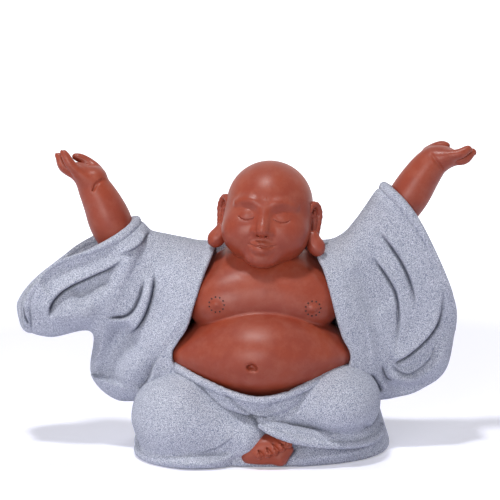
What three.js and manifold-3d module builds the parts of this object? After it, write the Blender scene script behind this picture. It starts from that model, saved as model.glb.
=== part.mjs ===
// A laughing buddha ornament in two unglazed clays: smooth red clay for the skin, sanded grey clay
// for the robe. The figure sits cross-legged with both arms raised. Each mesh is one pressed or cast
// piece, luted to its neighbours before firing, so pieces meet with a thin joint line.
// Millimetres, +Z up. The figure faces -Y, and left and right are as seen from the front.
// The origin is the middle of the underside.
import * as THREE from "three";
import { mergeVertices } from "three/addons/utils/BufferGeometryUtils.js";
import Module from "manifold-3d";

// Driving dimensions
const joint = 0.3; // joint line between two luted pieces
const neckJoint = 0.6; // round the head's seat, which is cut plainer than the head
const robeWall = 3; // thickness of the robe at the sleeve mouths
const cuffWidth = 5; // turned band round each sleeve mouth
const mouthDepth = 17; // how far each sleeve mouth is hollow
const robeEdge = 2.6; // robe at the edge of its opening, measured from the skin
const seatHalfWidth = 61;
const seatHalfDepth = 44;
const seatHeight = 27;
const seatBack = 1; // the seat's middle, behind the origin
const seatFront = seatBack - seatHalfDepth; // the lap's pieces are placed from here
const backSeam = 36; // the back of the robe is a panel this far to each side
const shoulderSeam = 6; // and starts this far behind the origin
const plateRadius = 20; // clay disc that closes the underside
const plateCentre = [4, 8];
const plateThickness = 4;
const ventRadius = 4; // lets steam out in the kiln
const ventCentre = [4, 17];
const neckRadius = 12.5;
const neckSeat = 5; // depth of the neck in its socket
const navelRadius = 2.4;
const earFlare = 20; // degrees the ears are turned to the front
const earSunk = 0.5; // the ears are pressed this far into the head
const earApart = 1.3; // the ear on the right stands out further, as the head is turned
const earLobe = -17.5; // the lobe's end, below the middle of the head
const sashThickness = 2;
const sashHang = 4.4; // how far the cloth under the sash's turned edge hangs below it
const sashDepth = 4; // and how far it lies back
const hemThickness = 1.9;
const frontReach = 80; // past the front of every piece, for cutters

// Fineness
const robeRings = 4; // rings between two cross-sections of the robe
const robeSides = 32;
const robeCrowding = 0.45; // crowds their points to the faces that show folds
const fullness = 2.4; // 2 makes the robe's cross-section an ellipse, more makes it squarer

const wasm = await Module();
wasm.setup();

// Clay pieces as solids
function solidFrom(geometry) {
  const bare = geometry.index ? geometry.toNonIndexed() : geometry.clone();
  for (const name of Object.keys(bare.attributes)) if (name !== "position") bare.deleteAttribute(name);
  const merged = mergeVertices(bare, 1e-4);
  const triVerts = new Uint32Array(merged.index.array);
  const make = () => new wasm.Manifold(
    new wasm.Mesh({ numProp: 3, vertProperties: merged.attributes.position.array, triVerts }),
  );
  const made = make();
  if (made.volume() > 0) return made;
  for (let i = 0; i < triVerts.length; i += 3) {
    [triVerts[i], triVerts[i + 1]] = [triVerts[i + 1], triVerts[i]];
  }
  return make();
}

function geometryFrom(solid) {
  const mesh = solid.getMesh();
  const geometry = new THREE.BufferGeometry();
  geometry.setAttribute("position", new THREE.BufferAttribute(new Float32Array(mesh.vertProperties), 3));
  geometry.setIndex(new THREE.BufferAttribute(new Uint32Array(mesh.triVerts), 1));
  geometry.computeVertexNormals();
  return geometry;
}

const join = (first, ...rest) => rest.reduce((all, piece) => all.add(piece), first);
const cut = (first, ...tools) => tools.reduce((left, tool) => left.subtract(tool), first);

// Forms: functions from a point to its distance from the clay's surface, negative inside
const vec = (x, y, z) => new THREE.Vector3(x, y, z);
const radians = THREE.MathUtils.degToRad;
const mix = THREE.MathUtils.lerp;

function turned(spin) {
  return new THREE.Quaternion().setFromEuler(new THREE.Euler(...spin.map(radians), "ZYX"));
}

function egg(centre, radii, spin = [0, 0, 0]) {
  const middle = vec(...centre);
  const size = vec(...radii);
  const back = turned(spin).invert();
  return (point) => {
    const local = point.clone().sub(middle).applyQuaternion(back).divide(size);
    const near = local.length();
    const steep = local.divide(size).length();
    return steep < 1e-9 ? -Math.min(...radii) : (near * (near - 1)) / steep;
  };
}

function limb(from, to, fromRadius, toRadius) {
  const start = vec(...from);
  const along = vec(...to).sub(start);
  return (point) => {
    const offset = point.clone().sub(start);
    const share = THREE.MathUtils.clamp(offset.dot(along) / along.lengthSq(), 0, 1);
    return offset.addScaledVector(along, -share).length() - mix(fromRadius, toRadius, share);
  };
}

function blend(softness, ...forms) {
  return (point) => forms.map((form) => form(point)).reduce((a, b) => {
    const share = Math.max(softness - Math.abs(a - b), 0) / softness;
    return Math.min(a, b) - (share * share * softness) / 4;
  });
}

function hollowed(softness, form, ...tools) {
  const outside = blend(softness, ...tools);
  return (point) => {
    const a = form(point);
    const b = -outside(point);
    const share = Math.max(softness - Math.abs(a - b), 0) / softness;
    return Math.max(a, b) + (share * share * softness) / 4;
  };
}

// A ball whose points are pushed in until they touch a form. focus crowds the points to the front, and
// belt crowds them to the height of the centre.
function wrap(form, { centre, around, up, focus = 0, belt = 0, pose = null, grow = 0 }) {
  const skin = new THREE.SphereGeometry(1, around, up).rotateX(Math.PI / 2);
  const points = skin.attributes.position;
  const middle = vec(...centre);
  const way = vec(0, 0, 0);
  for (let i = 0; i < points.count; i++) {
    way.fromBufferAttribute(points, i).normalize();
    const turn = Math.atan2(way.x, -way.y);
    const narrowed = turn - focus * Math.sin(turn);
    const dip = Math.acos(THREE.MathUtils.clamp(way.z, -1, 1));
    const level = dip + belt * Math.sin(2 * dip) / 2;
    way.set(Math.sin(level) * Math.sin(narrowed), -Math.sin(level) * Math.cos(narrowed), Math.cos(level));
    let reach = frontReach;
    for (let step = 0; step < 90; step++) {
      const gap = form(middle.clone().addScaledVector(way, reach)) - grow;
      reach = Math.max(reach - gap * 0.9, 0.5);
      if (Math.abs(gap) < 1e-4) break;
    }
    const at = middle.clone().addScaledVector(way, reach);
    if (pose) at.applyMatrix4(pose);
    points.setXYZ(i, at.x, at.y, at.z);
  }
  return solidFrom(skin);
}

// Closed skin over rings of points, each ring the same length, with a point at each end
function skinOver(rings, firstPoint, lastPoint) {
  const sides = rings[0].length;
  const places = [firstPoint, ...rings.flat(), lastPoint];
  const faces = [];
  const at = (ring, side) => 1 + ring * sides + (side % sides);
  for (let side = 0; side < sides; side++) {
    faces.push(0, at(0, side + 1), at(0, side));
    for (let ring = 0; ring + 1 < rings.length; ring++) {
      faces.push(at(ring, side), at(ring, side + 1), at(ring + 1, side));
      faces.push(at(ring, side + 1), at(ring + 1, side + 1), at(ring + 1, side));
    }
    faces.push(at(rings.length - 1, side), at(rings.length - 1, side + 1), places.length - 1);
  }
  const geometry = new THREE.BufferGeometry().setFromPoints(places);
  geometry.setIndex(faces);
  return solidFrom(geometry);
}

// A tapering roll of clay along a curve, round at both ends
function roll(shape, grow = 0) {
  const { path, radii, sides = 8, steps = 10, flat = 1, side = [0, 0, 1], caps = [25, 60] } = shape;
  const curve = new THREE.CatmullRomCurve3(path.map((p) => vec(...p)));
  const thickness = new THREE.SplineCurve(radii.map((r, i) => new THREE.Vector2(i, r)));
  const rings = [];
  const ringAt = (share, push, shrink) => {
    const along = curve.getTangent(share);
    const across = vec(...side).cross(along).normalize();
    const third = along.clone().cross(across);
    const radius = (thickness.getPoint(share).y + grow) * shrink;
    const middle = curve.getPoint(share).addScaledVector(along, push * (thickness.getPoint(share).y + grow));
    return Array.from({ length: sides }, (_, i) => {
      const turn = (i / sides) * 2 * Math.PI;
      return middle.clone()
        .addScaledVector(across, Math.cos(turn) * radius)
        .addScaledVector(third, Math.sin(turn) * radius * flat);
    });
  };
  for (const tilt of caps) rings.push(ringAt(0, -Math.cos(radians(tilt)), Math.sin(radians(tilt))));
  for (let i = 0; i <= steps; i++) rings.push(ringAt(i / steps, 0, 1));
  for (const tilt of [...caps].reverse()) {
    rings.push(ringAt(1, Math.cos(radians(tilt)), Math.sin(radians(tilt))));
  }
  const end = (share, sign) => curve.getPoint(share)
    .addScaledVector(curve.getTangent(share), sign * (thickness.getPoint(share).y + grow));
  return skinOver(rings, end(0, -1), end(1, 1));
}

// The robe hangs from hand to hand. Each cross-section runs from a top to a bottom point, [x, z], and
// bulges front and back of its own y. bow pushes its front and back out along the sleeve.
const robeSections = [
  { top: [-64, 117], bottom: [-133, 69], y: -2, front: 15, back: 15, bow: 10 },
  { top: [-60.6, 113.4], bottom: [-117.8, 59.2], y: -2, front: 16.5, back: 16, bow: 10 },
  { top: [-57.6, 111], bottom: [-103, 54.6], y: -2, front: 17, back: 16, bow: 7 },
  { top: [-55, 108.2], bottom: [-83, 57], y: -2, front: 17, back: 17, bow: 3 },
  { top: [-53, 106.4], bottom: [-83.5, 35.7], y: -1, front: 17, back: 18, bow: 0 },
  { top: [-47, 104.8], bottom: [-71.8, 23.2], y: 0, front: 20, back: 22, bow: 0 },
  { top: [-38, 102.8], bottom: [-54.5, 21.5], y: 0, front: 27, back: 28, bow: 0 },
  { top: [-26, 100.7], bottom: [-37, 8], y: 1, front: 33.5, back: 33, bow: 0 },
  { top: [1.5, 102], bottom: [0, 4], y: 3, front: 30, back: 35, bow: 0 },
  { top: [29, 101], bottom: [37, 8], y: 1, front: 33.5, back: 33, bow: 0 },
  { top: [38.6, 104.3], bottom: [54, 21.5], y: 0, front: 27, back: 28, bow: 0 },
  { top: [44.7, 111], bottom: [63.5, 23.6], y: 0, front: 20, back: 23, bow: 0 },
  { top: [49.7, 118.2], bottom: [77, 27.3], y: 0, front: 17, back: 19, bow: -2 },
  { top: [54.4, 125.5], bottom: [89.7, 38], y: -1, front: 16.5, back: 17, bow: -4 },
  { top: [59.1, 130.4], bottom: [94.5, 60], y: -2, front: 15.5, back: 15.5, bow: -7 },
  { top: [63, 134], bottom: [100, 72], y: -2, front: 14.5, back: 14.5, bow: -9 },
];
const leftRim = 1;
const rightRim = robeSections.length - 2;
const middle = 8; // the section over the spine

// Share of the bow along the front and the back of a sleeve's mouth, from its bottom to its top
const mouths = {
  left: {
    front: [-0.3, 0.12, 0.62, 0.94, 1.08, 1.16, 1.23, 1.24, 1.15, 0.94, 0.71, 0.52, 0.37, 0.24, 0.1, 0, 0],
    back: [0, 0.36, 0.74, 1, 1.1, 1.1, 1.05, 1, 0.95, 0.91, 0.82, 0.7, 0.56, 0.42, 0.28, 0.18, 0.1],
  },
  right: {
    front: [0, 0.33, 0.57, 0.71, 0.84, 0.91, 0.97, 1, 1.03, 1.04, 1.04, 1.03, 0.97, 0.86, 0.69, 0.43, 0.11],
    back: [0, 0.33, 0.57, 0.71, 0.84, 0.91, 0.97, 1, 1, 1, 0.97, 0.91, 0.84, 0.71, 0.57, 0.33, 0],
  },
};

// The main folds, as lines in front view. Cloth to the left of a fold's way (side 1) or to the right of it
// (side -1) stands proud by rise, the other side lies back by sink, and both fade over spread. Without a
// side the fold is a ridge, or a valley where its rise is negative.
const frontFolds = [
  {
    path: [[-54.8, 106.8], [-60.9, 100.3], [-71.5, 95.8]],
    side: -1, rise: 1.5, sink: 0.6, spread: 3.6,
  },
  {
    path: [[-66, 96], [-82, 86.2], [-96.9, 78.1], [-102.2, 66.3]],
    side: -1, rise: 1, sink: 0.8, spread: 4.5,
  },
  {
    path: [[-56.1, 87.7], [-59.1, 75.4], [-66.2, 67.2], [-75.5, 67]],
    side: 1, rise: 1.3, sink: 0.5, spread: 4,
  },
  {
    path: [[-51.5, 90.7], [-53.5, 75.1], [-60.4, 61.4], [-66.8, 54.9]],
    side: -1, rise: 1.3, sink: 0.6, spread: 4.2,
  },
  { path: [[-61.2, 65.6], [-71, 51.1], [-76.3, 34.6]], rise: -3.4, spread: 6.5 },
  { path: [[-56.9, 49.1], [-63.4, 41.2], [-68.6, 33.3]], rise: 0.9, spread: 5 },
  {
    path: [[-44.4, 54.9], [-52.2, 45], [-56.7, 34.5], [-60, 30.5]],
    side: 1, rise: 1.2, sink: 1.6, spread: 4,
  },
  { path: [[-62.8, 98.9], [-84.7, 92.4], [-105.9, 81.9]], rise: -1.8, spread: 5 },
  { path: [[-71.9, 87.3], [-82.2, 80.8], [-91.8, 76.3]], rise: -1.2, spread: 4.5 },
  { path: [[-77.1, 69.3], [-96.3, 69.3], [-104.7, 68]], rise: 1, spread: 5 },
  { path: [[-46.7, 88.5], [-46.1, 78.1], [-52.6, 60.5]], rise: -1.1, spread: 5.5 },
  {
    path: [[54.3, 110.1], [67.8, 91.2], [72.9, 74.9], [73, 69.4]],
    side: 1, rise: 1, sink: 0.6, spread: 4.5,
  },
  {
    path: [[51.6, 97.7], [64, 78.4], [65.3, 62], [63.5, 49.5]],
    side: 1, rise: 0.9, sink: 0.8, spread: 5,
  },
  { path: [[45.6, 72.2], [50.6, 57.4], [51.9, 44.2]], side: 1, rise: 0.5, sink: 0.4, spread: 4 },
  { path: [[41.7, 93.4], [54.8, 75.7], [59.4, 68.7]], rise: -1.5, spread: 7 },
  { path: [[87.1, 84], [84.1, 63], [75.1, 51.6], [63.4, 44]], side: -1, rise: 1.8, sink: 2, spread: 6 },
  { path: [[88.3, 60], [83.9, 42.4], [72.5, 34.9], [58.9, 43.9]], rise: 1.1, spread: 2.6 },
  { path: [[60.5, 36.1], [70.6, 30.8], [85, 35.6]], rise: -1.6, spread: 2.8 },
  { path: [[57.7, 44.4], [60.5, 36.4], [63.6, 34.4]], rise: -2, spread: 2.4 },
];
const backFolds = [
  { path: [[-17, 94], [-24, 76], [-29, 54], [-31, 30]], side: 1, rise: 1.4, sink: 0.7, spread: 7 },
  { path: [[18, 94], [25, 74], [30, 52], [33, 28]], side: -1, rise: 1.3, sink: 0.7, spread: 7 },
  { path: [[-3, 84], [-5, 62], [-3, 38], [-6, 16]], rise: -1.6, spread: 7 },
  { path: [[11, 78], [12, 52], [9, 24]], rise: 1.4, spread: 5 },
  { path: [[-12, 60], [-15, 36], [-14, 14]], rise: 1.1, spread: 4.5 },
  { path: [[-46, 97], [-57, 84], [-72, 74], [-92, 67]], side: 1, rise: 1.1, sink: 0.9, spread: 6 },
  { path: [[-44, 84], [-50, 66], [-58, 50], [-66, 38]], side: -1, rise: 1.2, sink: 0.9, spread: 6 },
  { path: [[-62, 103], [-76, 95], [-94, 84], [-104, 72]], rise: -1.3, spread: 5 },
  { path: [[52, 108], [62, 92], [69, 74], [71, 58]], side: -1, rise: 1.1, sink: 0.8, spread: 6 },
  { path: [[46, 94], [54, 76], [58, 56], [57, 38]], side: 1, rise: 1.2, sink: 0.7, spread: 6 },
  { path: [[64, 108], [75, 90], [82, 72], [80, 54]], rise: -1.3, spread: 5 },
];

// Where the robe hangs open over the chest and belly, seen from the front
const openingEdge = [
  [-20, 106], [-23.3, 97.4], [-27.6, 88.2], [-31.9, 75.7], [-35.3, 64.5], [-40, 56.8], [-42.6, 51.4],
  [-40, 44], [-22, 30], [-2, 24], [18, 30], [38, 42], [41.9, 50.5], [37.7, 59.9], [34.6, 70.3],
  [32.1, 80.3], [29.1, 90.2], [26.2, 95.9], [23, 106],
];

// One number of a row, on a smooth curve through them
function smooth(row, place, read = (value) => value) {
  const last = row.length - 1;
  const start = THREE.MathUtils.clamp(Math.floor(place), 0, last - 1);
  const share = place - start;
  const near = (i) => read(row[THREE.MathUtils.clamp(i, 0, last)]);
  const [a, b, c, d] = [near(start - 1), near(start), near(start + 1), near(start + 2)];
  const slopeIn = (c - a) / 2;
  const slopeOut = (d - b) / 2;
  return b + share * (slopeIn + share * (3 * (c - b) - 2 * slopeIn - slopeOut
    + share * (2 * (b - c) + slopeIn + slopeOut)));
}

const curveThrough = (path) => new THREE.SplineCurve(path.map((p) => new THREE.Vector2(...p)));
const lineThrough = (path, count) => curveThrough(path).getPoints(count);

// The nearest place on a line in front view: how far it is, on which side, and how far along
function nearest(line, x, z) {
  let best = { away: Infinity, side: 1, share: 0 };
  for (let i = 0; i + 1 < line.length; i++) {
    const [dx, dz] = [line[i + 1].x - line[i].x, line[i + 1].y - line[i].y];
    const [fromX, fromZ] = [x - line[i].x, z - line[i].y];
    const u = THREE.MathUtils.clamp((fromX * dx + fromZ * dz) / (dx * dx + dz * dz), 0, 1);
    const away = Math.hypot(fromX - u * dx, fromZ - u * dz);
    if (away < best.away) {
      best = { away, side: Math.sign(dx * fromZ - dz * fromX) || 1, share: (i + u) / (line.length - 1) };
    }
  }
  return best;
}

const eased = (share) => THREE.MathUtils.smoothstep(share, 0, 1);
const drawn = (folds) => folds.map((fold) => ({ ...fold, line: lineThrough(fold.path, 14) }));
const drawnFolds = { front: drawn(frontFolds), back: drawn(backFolds) };

function foldHeight(folds, x, z) {
  return folds.reduce((height, { line, side, rise, sink = 0, spread }) => {
    const near = nearest(line, x, z);
    if (near.away > 2.6 * spread) return height;
    const fade = eased(near.share / 0.25) * eased((1 - near.share) / 0.25);
    const soft = Math.exp(-((near.away / spread) ** 2));
    const step = side ? eased((near.away * near.side * side) / 2 + 0.5) : 1;
    return height + fade * soft * (rise * step - sink * (1 - step));
  }, 0);
}

// Beside its opening the robe lies on the skin, and it leaves the skin gradually
const openingLine = lineThrough([...openingEdge, openingEdge[0]], 80);
const openingRegion = new THREE.Box2().setFromPoints(openingLine);
const settledHeight = 40; // the robe lies on the skin above this height
const settledWidth = 11;

function insideOpening(x, z) {
  let inside = false;
  openingLine.forEach((a, i) => {
    const b = openingLine[(i + 1) % openingLine.length];
    if ((a.y > z) !== (b.y > z) && x < a.x + ((b.x - a.x) * (z - a.y)) / (b.y - a.y)) inside = !inside;
  });
  return inside;
}

function settle(point) {
  const beyond = Math.max(openingRegion.min.x - point.x, point.x - openingRegion.max.x);
  if (point.z < settledHeight || beyond > settledWidth) return;
  const beside = insideOpening(point.x, point.z) ? 0 : nearest(openingLine, point.x, point.z).away;
  for (let i = 0; i < 40; i++) {
    const allowed = robeEdge + 0.15 * beside * beside
      + Math.max((point.y + 12) / 2, 0) + Math.max((point.z - 84) / 2, 0);
    const over = underRobe(point) - allowed;
    if (over <= 0 || point.y > 0) break;
    point.y += over * 0.6;
  }
}

function robeRing(place, grow) {
  const at = (read) => smooth(robeSections, place, read);
  const top = vec(at((s) => s.top[0]), 0, at((s) => s.top[1]));
  const bottom = vec(at((s) => s.bottom[0]), 0, at((s) => s.bottom[1]));
  const upward = top.clone().sub(bottom);
  const half = upward.length() / 2 + grow;
  upward.normalize();
  const outward = vec(-upward.z, 0, upward.x);
  const y = at((s) => s.y);
  const front = at((s) => s.front) + grow;
  const back = at((s) => s.back) + grow;
  const bow = at((s) => s.bow);
  const mouth = place < middle ? mouths.left : mouths.right;
  const centre = top.add(bottom).multiplyScalar(0.5).setY(y);
  const points = Array.from({ length: robeSides }, (_, i) => {
    const even = (i / robeSides) * 2 * Math.PI;
    const turn = even + (robeCrowding * Math.sin(2 * even)) / 2;
    const [up, across] = [Math.cos(turn), Math.sin(turn)];
    const round = (Math.abs(up) ** fullness + Math.abs(across) ** fullness) ** (-1 / fullness);
    const [rise, bulge] = [up * round, across * round];
    const shape = bulge > 0 ? mouth.front : mouth.back;
    const point = centre.clone()
      .addScaledVector(upward, half * rise)
      .addScaledVector(outward, bow * smooth(shape, ((rise + 1) / 2) * (shape.length - 1)));
    const shown = Math.min(Math.abs(bulge) / 0.35, 1);
    point.y += bulge > 0
      ? -front * bulge - shown * foldHeight(drawnFolds.front, point.x, point.z)
      : -back * bulge + shown * foldHeight(drawnFolds.back, point.x, point.z);
    if (point.y < y) settle(point);
    return point;
  });
  return { points, middle: centre.clone().addScaledVector(outward, bow * 0.6) };
}

// The length of robe between two places, grown or shrunk all round
function robeBetween(from, to, grow = 0) {
  const count = Math.max(2, Math.round(Math.abs(to - from) * robeRings) + 1);
  const rings = Array.from({ length: count }, (_, i) => robeRing(mix(from, to, i / (count - 1)), grow));
  return skinOver(rings.map((r) => r.points), rings[0].middle, rings[count - 1].middle);
}

// How far along the sections a length in millimetres reaches, measured along the top edge
function placesIn(length, from) {
  const here = robeRing(from, 0).middle;
  const there = robeRing(from + (from < 5 ? 1 : -1), 0).middle;
  return length / here.distanceTo(there);
}

// Skin pieces
const belly = blend(
  10,
  egg([0, -12, 51.5], [36, 37.5, 24]),
  egg([0, -14, 50], [46, 29, 13.5]),
);
const chest = blend(
  6,
  egg([1, -3, 77], [35, 29, 24]),
  egg([-17.5, -17, 75], [19, 14.5, 15]),
  egg([19, -17, 75], [19, 14.5, 15]),
);
const throat = limb([1.5, -5, 93], [2, -7, 104], 18, neckRadius);
const torsoForm = blend(2, belly, blend(8, chest, throat));
const underRobe = blend(16, belly, chest, throat); // cloth spans the hollow at the waist
const torsoWrap = { centre: [0, -4, 64], around: 30, up: 22, focus: 0.3, belt: 0.15 };
const navel = { centre: [-5.3, -49.4, 49.8], radii: [navelRadius, 3, 1.7] };
const neckTop = 104;

// The head is worked in its own frame, looking along -Y from its middle, and posed afterwards
const headMiddle = [2.6, -11, 116];
const headPose = new THREE.Matrix4().compose(
  vec(...headMiddle),
  turned([-6, 4, -6]),
  vec(1, 1, 1),
);
const bothSides = (make) => [make(-1), make(1)];
const skull = egg([0.5, 2, 5], [20.7, 22, 20.8]);
const jaw = egg([0, -2.5, -8.5], [20.8, 18, 16]);
const headMass = blend(
  7,
  skull,
  jaw,
  egg([0, -15.5, -19.5], [7, 5, 4.5]),
  ...bothSides((s) => egg([s * 10.5, -12.5, -7.5], [7.5, 6.5, 7])),
);
const brows = bothSides((s) => blend(
  3,
  limb([s * 3.2, -18.5, 5], [s * 8, -17.6, 7.3], 0.7, 1),
  limb([s * 8, -17.6, 7.3], [s * 13.8, -14.6, 4], 1, 0.6),
));
const sockets = bothSides((s) => egg([s * 8.4, -23, 1.8], [5.6, 3.2, 3.3], [0, 0, s * 14]));
const lids = bothSides((s) => egg([s * 8.4, -14.6, -0.2], [5.2, 4.5, 3.9], [0, 0, s * 14]));
const nose = blend(
  2,
  limb([0, -17.8, 5], [0, -21.6, -5.4], 1.6, 2.1),
  egg([0, -22.2, -6.6], [2.6, 2.6, 2.5]),
  ...bothSides((s) => egg([s * 2.8, -20, -7.2], [1.6, 2.2, 1.8])),
);
const lips = blend(
  1.5,
  ...bothSides((s) => limb([s * 5.8, -17.6, -13.1], [s * 0.8, -20.2, -13.2], 0.8, 1.3)),
  limb([-2.4, -19.6, -16], [2.4, -19.6, -16], 1.5, 1.5),
);

// A form with a line drawn into its front
function engraved(form, path, depth, width) {
  const line = lineThrough(path, 12);
  return (point) => {
    const away = point.y < 0 ? nearest(line, point.x, point.z).away / width : Infinity;
    return form(point) + depth * Math.exp(-away * away);
  };
}

const brow = hollowed(5, blend(4, headMass, ...brows), ...sockets);
const smile = [[-6.8, -12.7], [-3.4, -14], [0, -14.4], [3.4, -14], [6.8, -12.7]];
const closedLids = bothSides((s) => [[s * 4, -0.9], [s * 8.5, -2.4], [s * 13, -0.5]]);
const headForm = closedLids.reduce(
  (form, path) => engraved(form, path, 0.5, 0.7),
  engraved(blend(2, brow, ...lids, nose, lips), smile, 0.8, 0.8),
);
const headWrap = { centre: [0, -4, -6], around: 52, up: 40, focus: 0.62, belt: 0.45, pose: headPose };
const headFit = { ...headWrap, around: 20, up: 14, focus: 0.1, belt: 0 };

function headSolid(grow = 0) {
  const head = wrap(headForm, { ...(grow > 0 ? headFit : headWrap), grow });
  const neck = roll({
    path: [[2, -6, neckTop - neckSeat], [2, -7, neckTop], [2.4, -8, neckTop + 8]],
    radii: [neckRadius - 1, neckRadius - 1, neckRadius - 1],
    sides: 16,
    steps: 2,
  }, grow);
  return head.add(neck);
}

// Each ear stands out from the head, with a rolled upper rim and a long thick lobe
function earSolid(side, grow = 0) {
  const reach = side > 0 ? earApart : 0;
  const place = ([x, y, z]) => vec(side * (x - earSunk + reach), y, z).applyMatrix4(headPose).toArray();
  const facing = vec(side * Math.cos(radians(earFlare)), -Math.sin(radians(earFlare)), 0)
    .transformDirection(headPose).toArray();
  const shell = roll({
    path: [[19, 0.6, 4], [19.6, 0.4, -2], [21.2, -0.6, -8], [23.8, -1.6, earLobe + 4.6]].map(place),
    radii: [3.6, 3.4, 3.2, 4.6],
    sides: 10,
    steps: 6,
    flat: 0.72,
    side: facing,
  }, grow);
  const rim = roll({
    path: [[19, -3.2, -4], [18.9, -2.8, 2.4], [20, 0.4, 6.5], [21.8, 3.8, 3.4], [21.8, 3.6, -4]].map(place),
    radii: [0.9, 1.2, 1.4, 1.4, 1],
    sides: 6,
    steps: 9,
    side: facing,
  }, grow);
  return shell.add(rim);
}

// Raised forearms with open hands
const arms = {
  left: {
    path: [[-67.2, -2, 96], [-72.6, -2, 109.7], [-76.9, -2.5, 120.3], [-81.8, -3, 129.8]],
    radii: [10.5, 10.5, 9.1, 7.2],
    palm: { centre: [-85.4, -3.2, 133.8], radii: [8.2, 7.6, 5], spin: [0, 36, 0] },
    heel: { centre: [-79.2, -3, 134], radii: [4.4, 6.4, 3.8], spin: [0, 25, 0] },
    thumb: [[-80.2, 1.4, 136.2], [-84, 3.4, 139.2], [-87.4, 3.6, 141.2], [-90.4, 3, 142.4]],
    fingers: [
      [[-87, -7.6, 136], [-91.6, -8.8, 139.2], [-95.2, -8.6, 144.8]],
      [[-88, -4.6, 135], [-94, -5, 139], [-96.2, -4.6, 146]],
      [[-88, -0.8, 134], [-94.6, -1, 138], [-97, -0.8, 144.2]],
      [[-87, 2.8, 133.6], [-93.6, 3, 137], [-96, 3, 142]],
    ],
  },
  right: {
    path: [[60.5, -2, 108], [70.2, -2, 122.9], [76.6, -2.5, 133.3], [81.4, -3, 140]],
    radii: [9.7, 9.7, 8.6, 7.3],
    palm: { centre: [86.8, -3.2, 142.8], radii: [7.8, 7.6, 5.2], spin: [0, 10, 0] },
    heel: { centre: [86.4, -3, 140.4], radii: [4.4, 6.2, 3.6], spin: [0, -20, 0] },
    thumb: [[80.8, 1.4, 145], [84, 3.4, 147], [86.8, 3.8, 147.8], [89.6, 3.2, 147.4]],
    fingers: [
      [[88.6, -7.6, 143], [94.2, -8.8, 143.6], [98.6, -8.6, 147]],
      [[89, -4.6, 142.4], [96, -5, 142.4], [100.4, -4.6, 146]],
      [[89, -0.8, 141.8], [96.2, -1, 141.4], [100.4, -0.8, 144.6]],
      [[88.6, 2.8, 141.4], [95, 3, 140.8], [99, 3, 143.4]],
    ],
  },
};
const fingerRadii = [2.4, 2.2, 1.8];
const thumbRadii = [2.6, 2.2, 1.6];

function armSolid({ path, radii, palm, heel, thumb, fingers }, grow = 0) {
  const forearm = roll({ path, radii, sides: 14, steps: 6, side: [0, 1, 0], caps: [45] }, grow);
  const handForm = blend(3, ...[palm, heel].map(({ centre, radii, spin }) => egg(centre, radii, spin)));
  const hand = wrap(handForm, { centre: palm.centre, around: 16, up: 10, grow });
  const digit = (line, thickness) => roll(
    { path: line, radii: thickness, sides: 6, steps: 4, side: [0, 1, 0], caps: [45] },
    grow,
  );
  return join(forearm, hand, digit(thumb, thumbRadii), ...fingers.map((line) => digit(line, fingerRadii)));
}

// Pieces of the lap are placed by their distance behind the front of the seat
const lap = (x, y, z) => [x, seatFront + y, z];

// The foot comes out from under the crossed legs, its toes forward, down and to the right
const footForm = blend(
  3,
  egg(lap(1.4, 1, 9.2), [11, 8.2, 6.6], [0, -14, 0]),
  limb(lap(-6.6, -0.4, 5.2), lap(8.6, -1.4, 4.6), 3, 2.8),
  limb(lap(8.6, -1.4, 4.6), lap(12.4, -1.2, 9), 2.8, 2.4),
);
const toes = [
  { from: lap(-4.6, -1.4, 9.4), to: lap(-1.6, -5, 6.9), radius: 1.8 },
  { from: lap(-0.6, -1.6, 10.8), to: lap(2.4, -5.4, 7.9), radius: 1.9 },
  { from: lap(3, -1.7, 12), to: lap(5.8, -5.4, 9), radius: 1.9 },
  { from: lap(6.2, -1.6, 13), to: lap(9, -5, 10.6), radius: 1.9 },
  { from: lap(7.8, -1, 13.4), to: lap(12, -3.6, 12.2), radius: 2.2 },
];

function footSolid(grow = 0) {
  const sole = wrap(footForm, { centre: lap(1.4, 0, 7.6), around: 26, up: 18, grow });
  const tips = toes.map(({ from, to, radius }) => roll({
    path: [from, from.map((value, i) => mix(value, to[i], 0.5)), to],
    radii: [radius, radius * 1.03, radius],
    sides: 8,
    steps: 2,
    caps: [30, 60],
  }, grow));
  return join(sole, ...tips);
}

// Robe over the crossed legs
const rightKneeForm = blend(
  8,
  egg(lap(35.6, 21.5, 27.6), [21.2, 27.5, 19.2]),
  limb(lap(28, 15, 27), lap(4.6, 3.4, 21.4), 15, 4.6),
);
const leftKneeForm = blend(
  8,
  egg(lap(-38, 24.5, 18.4), [25, 30, 23.4], [0, 12, 0]),
  limb(lap(-33, 17, 19.5), lap(-7.6, 5.4, 13), 20.5, 10),
);
const kneeWrap = { around: 24, up: 16, focus: 0.3 };
const rightKnee = (grow = 0) => wrap(rightKneeForm, { ...kneeWrap, centre: lap(26, 19, 24), grow });
const leftKnee = (grow = 0) => wrap(leftKneeForm, { ...kneeWrap, centre: lap(-28, 19, 16), grow });

// The waist of the robe: a turned edge along the belly, over cloth that lies back behind the knees
const sashLine = [
  [-45, -19, 46.5], [-39.5, -27.5, 44.3], [-33.5, -33.8, 42], [-24, -39.4, 38.6], [-14, -43.2, 35.2],
  [-3, -45.2, 33], [7, -45, 34], [15.3, -42.8, 36.6], [26, -37.6, 40.4], [34, -30.2, 43.8], [40, -23, 45.5],
];

function sash(grow = 0) {
  const edge = roll({
    path: sashLine,
    radii: sashLine.map((_, i) => sashThickness * (i % (sashLine.length - 1) ? 1 : 0.6)),
    steps: 18,
  }, grow);
  const cloth = roll({
    path: sashLine.slice(2, -2).map(([x, y, z]) => [x, y + sashDepth, z - sashHang]),
    radii: [1.4, 1.7, 2, 2.1, 2, 1.8, 1.4].map((share) => share * sashThickness),
    steps: 12,
  }, grow);
  return edge.add(cloth);
}

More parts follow.
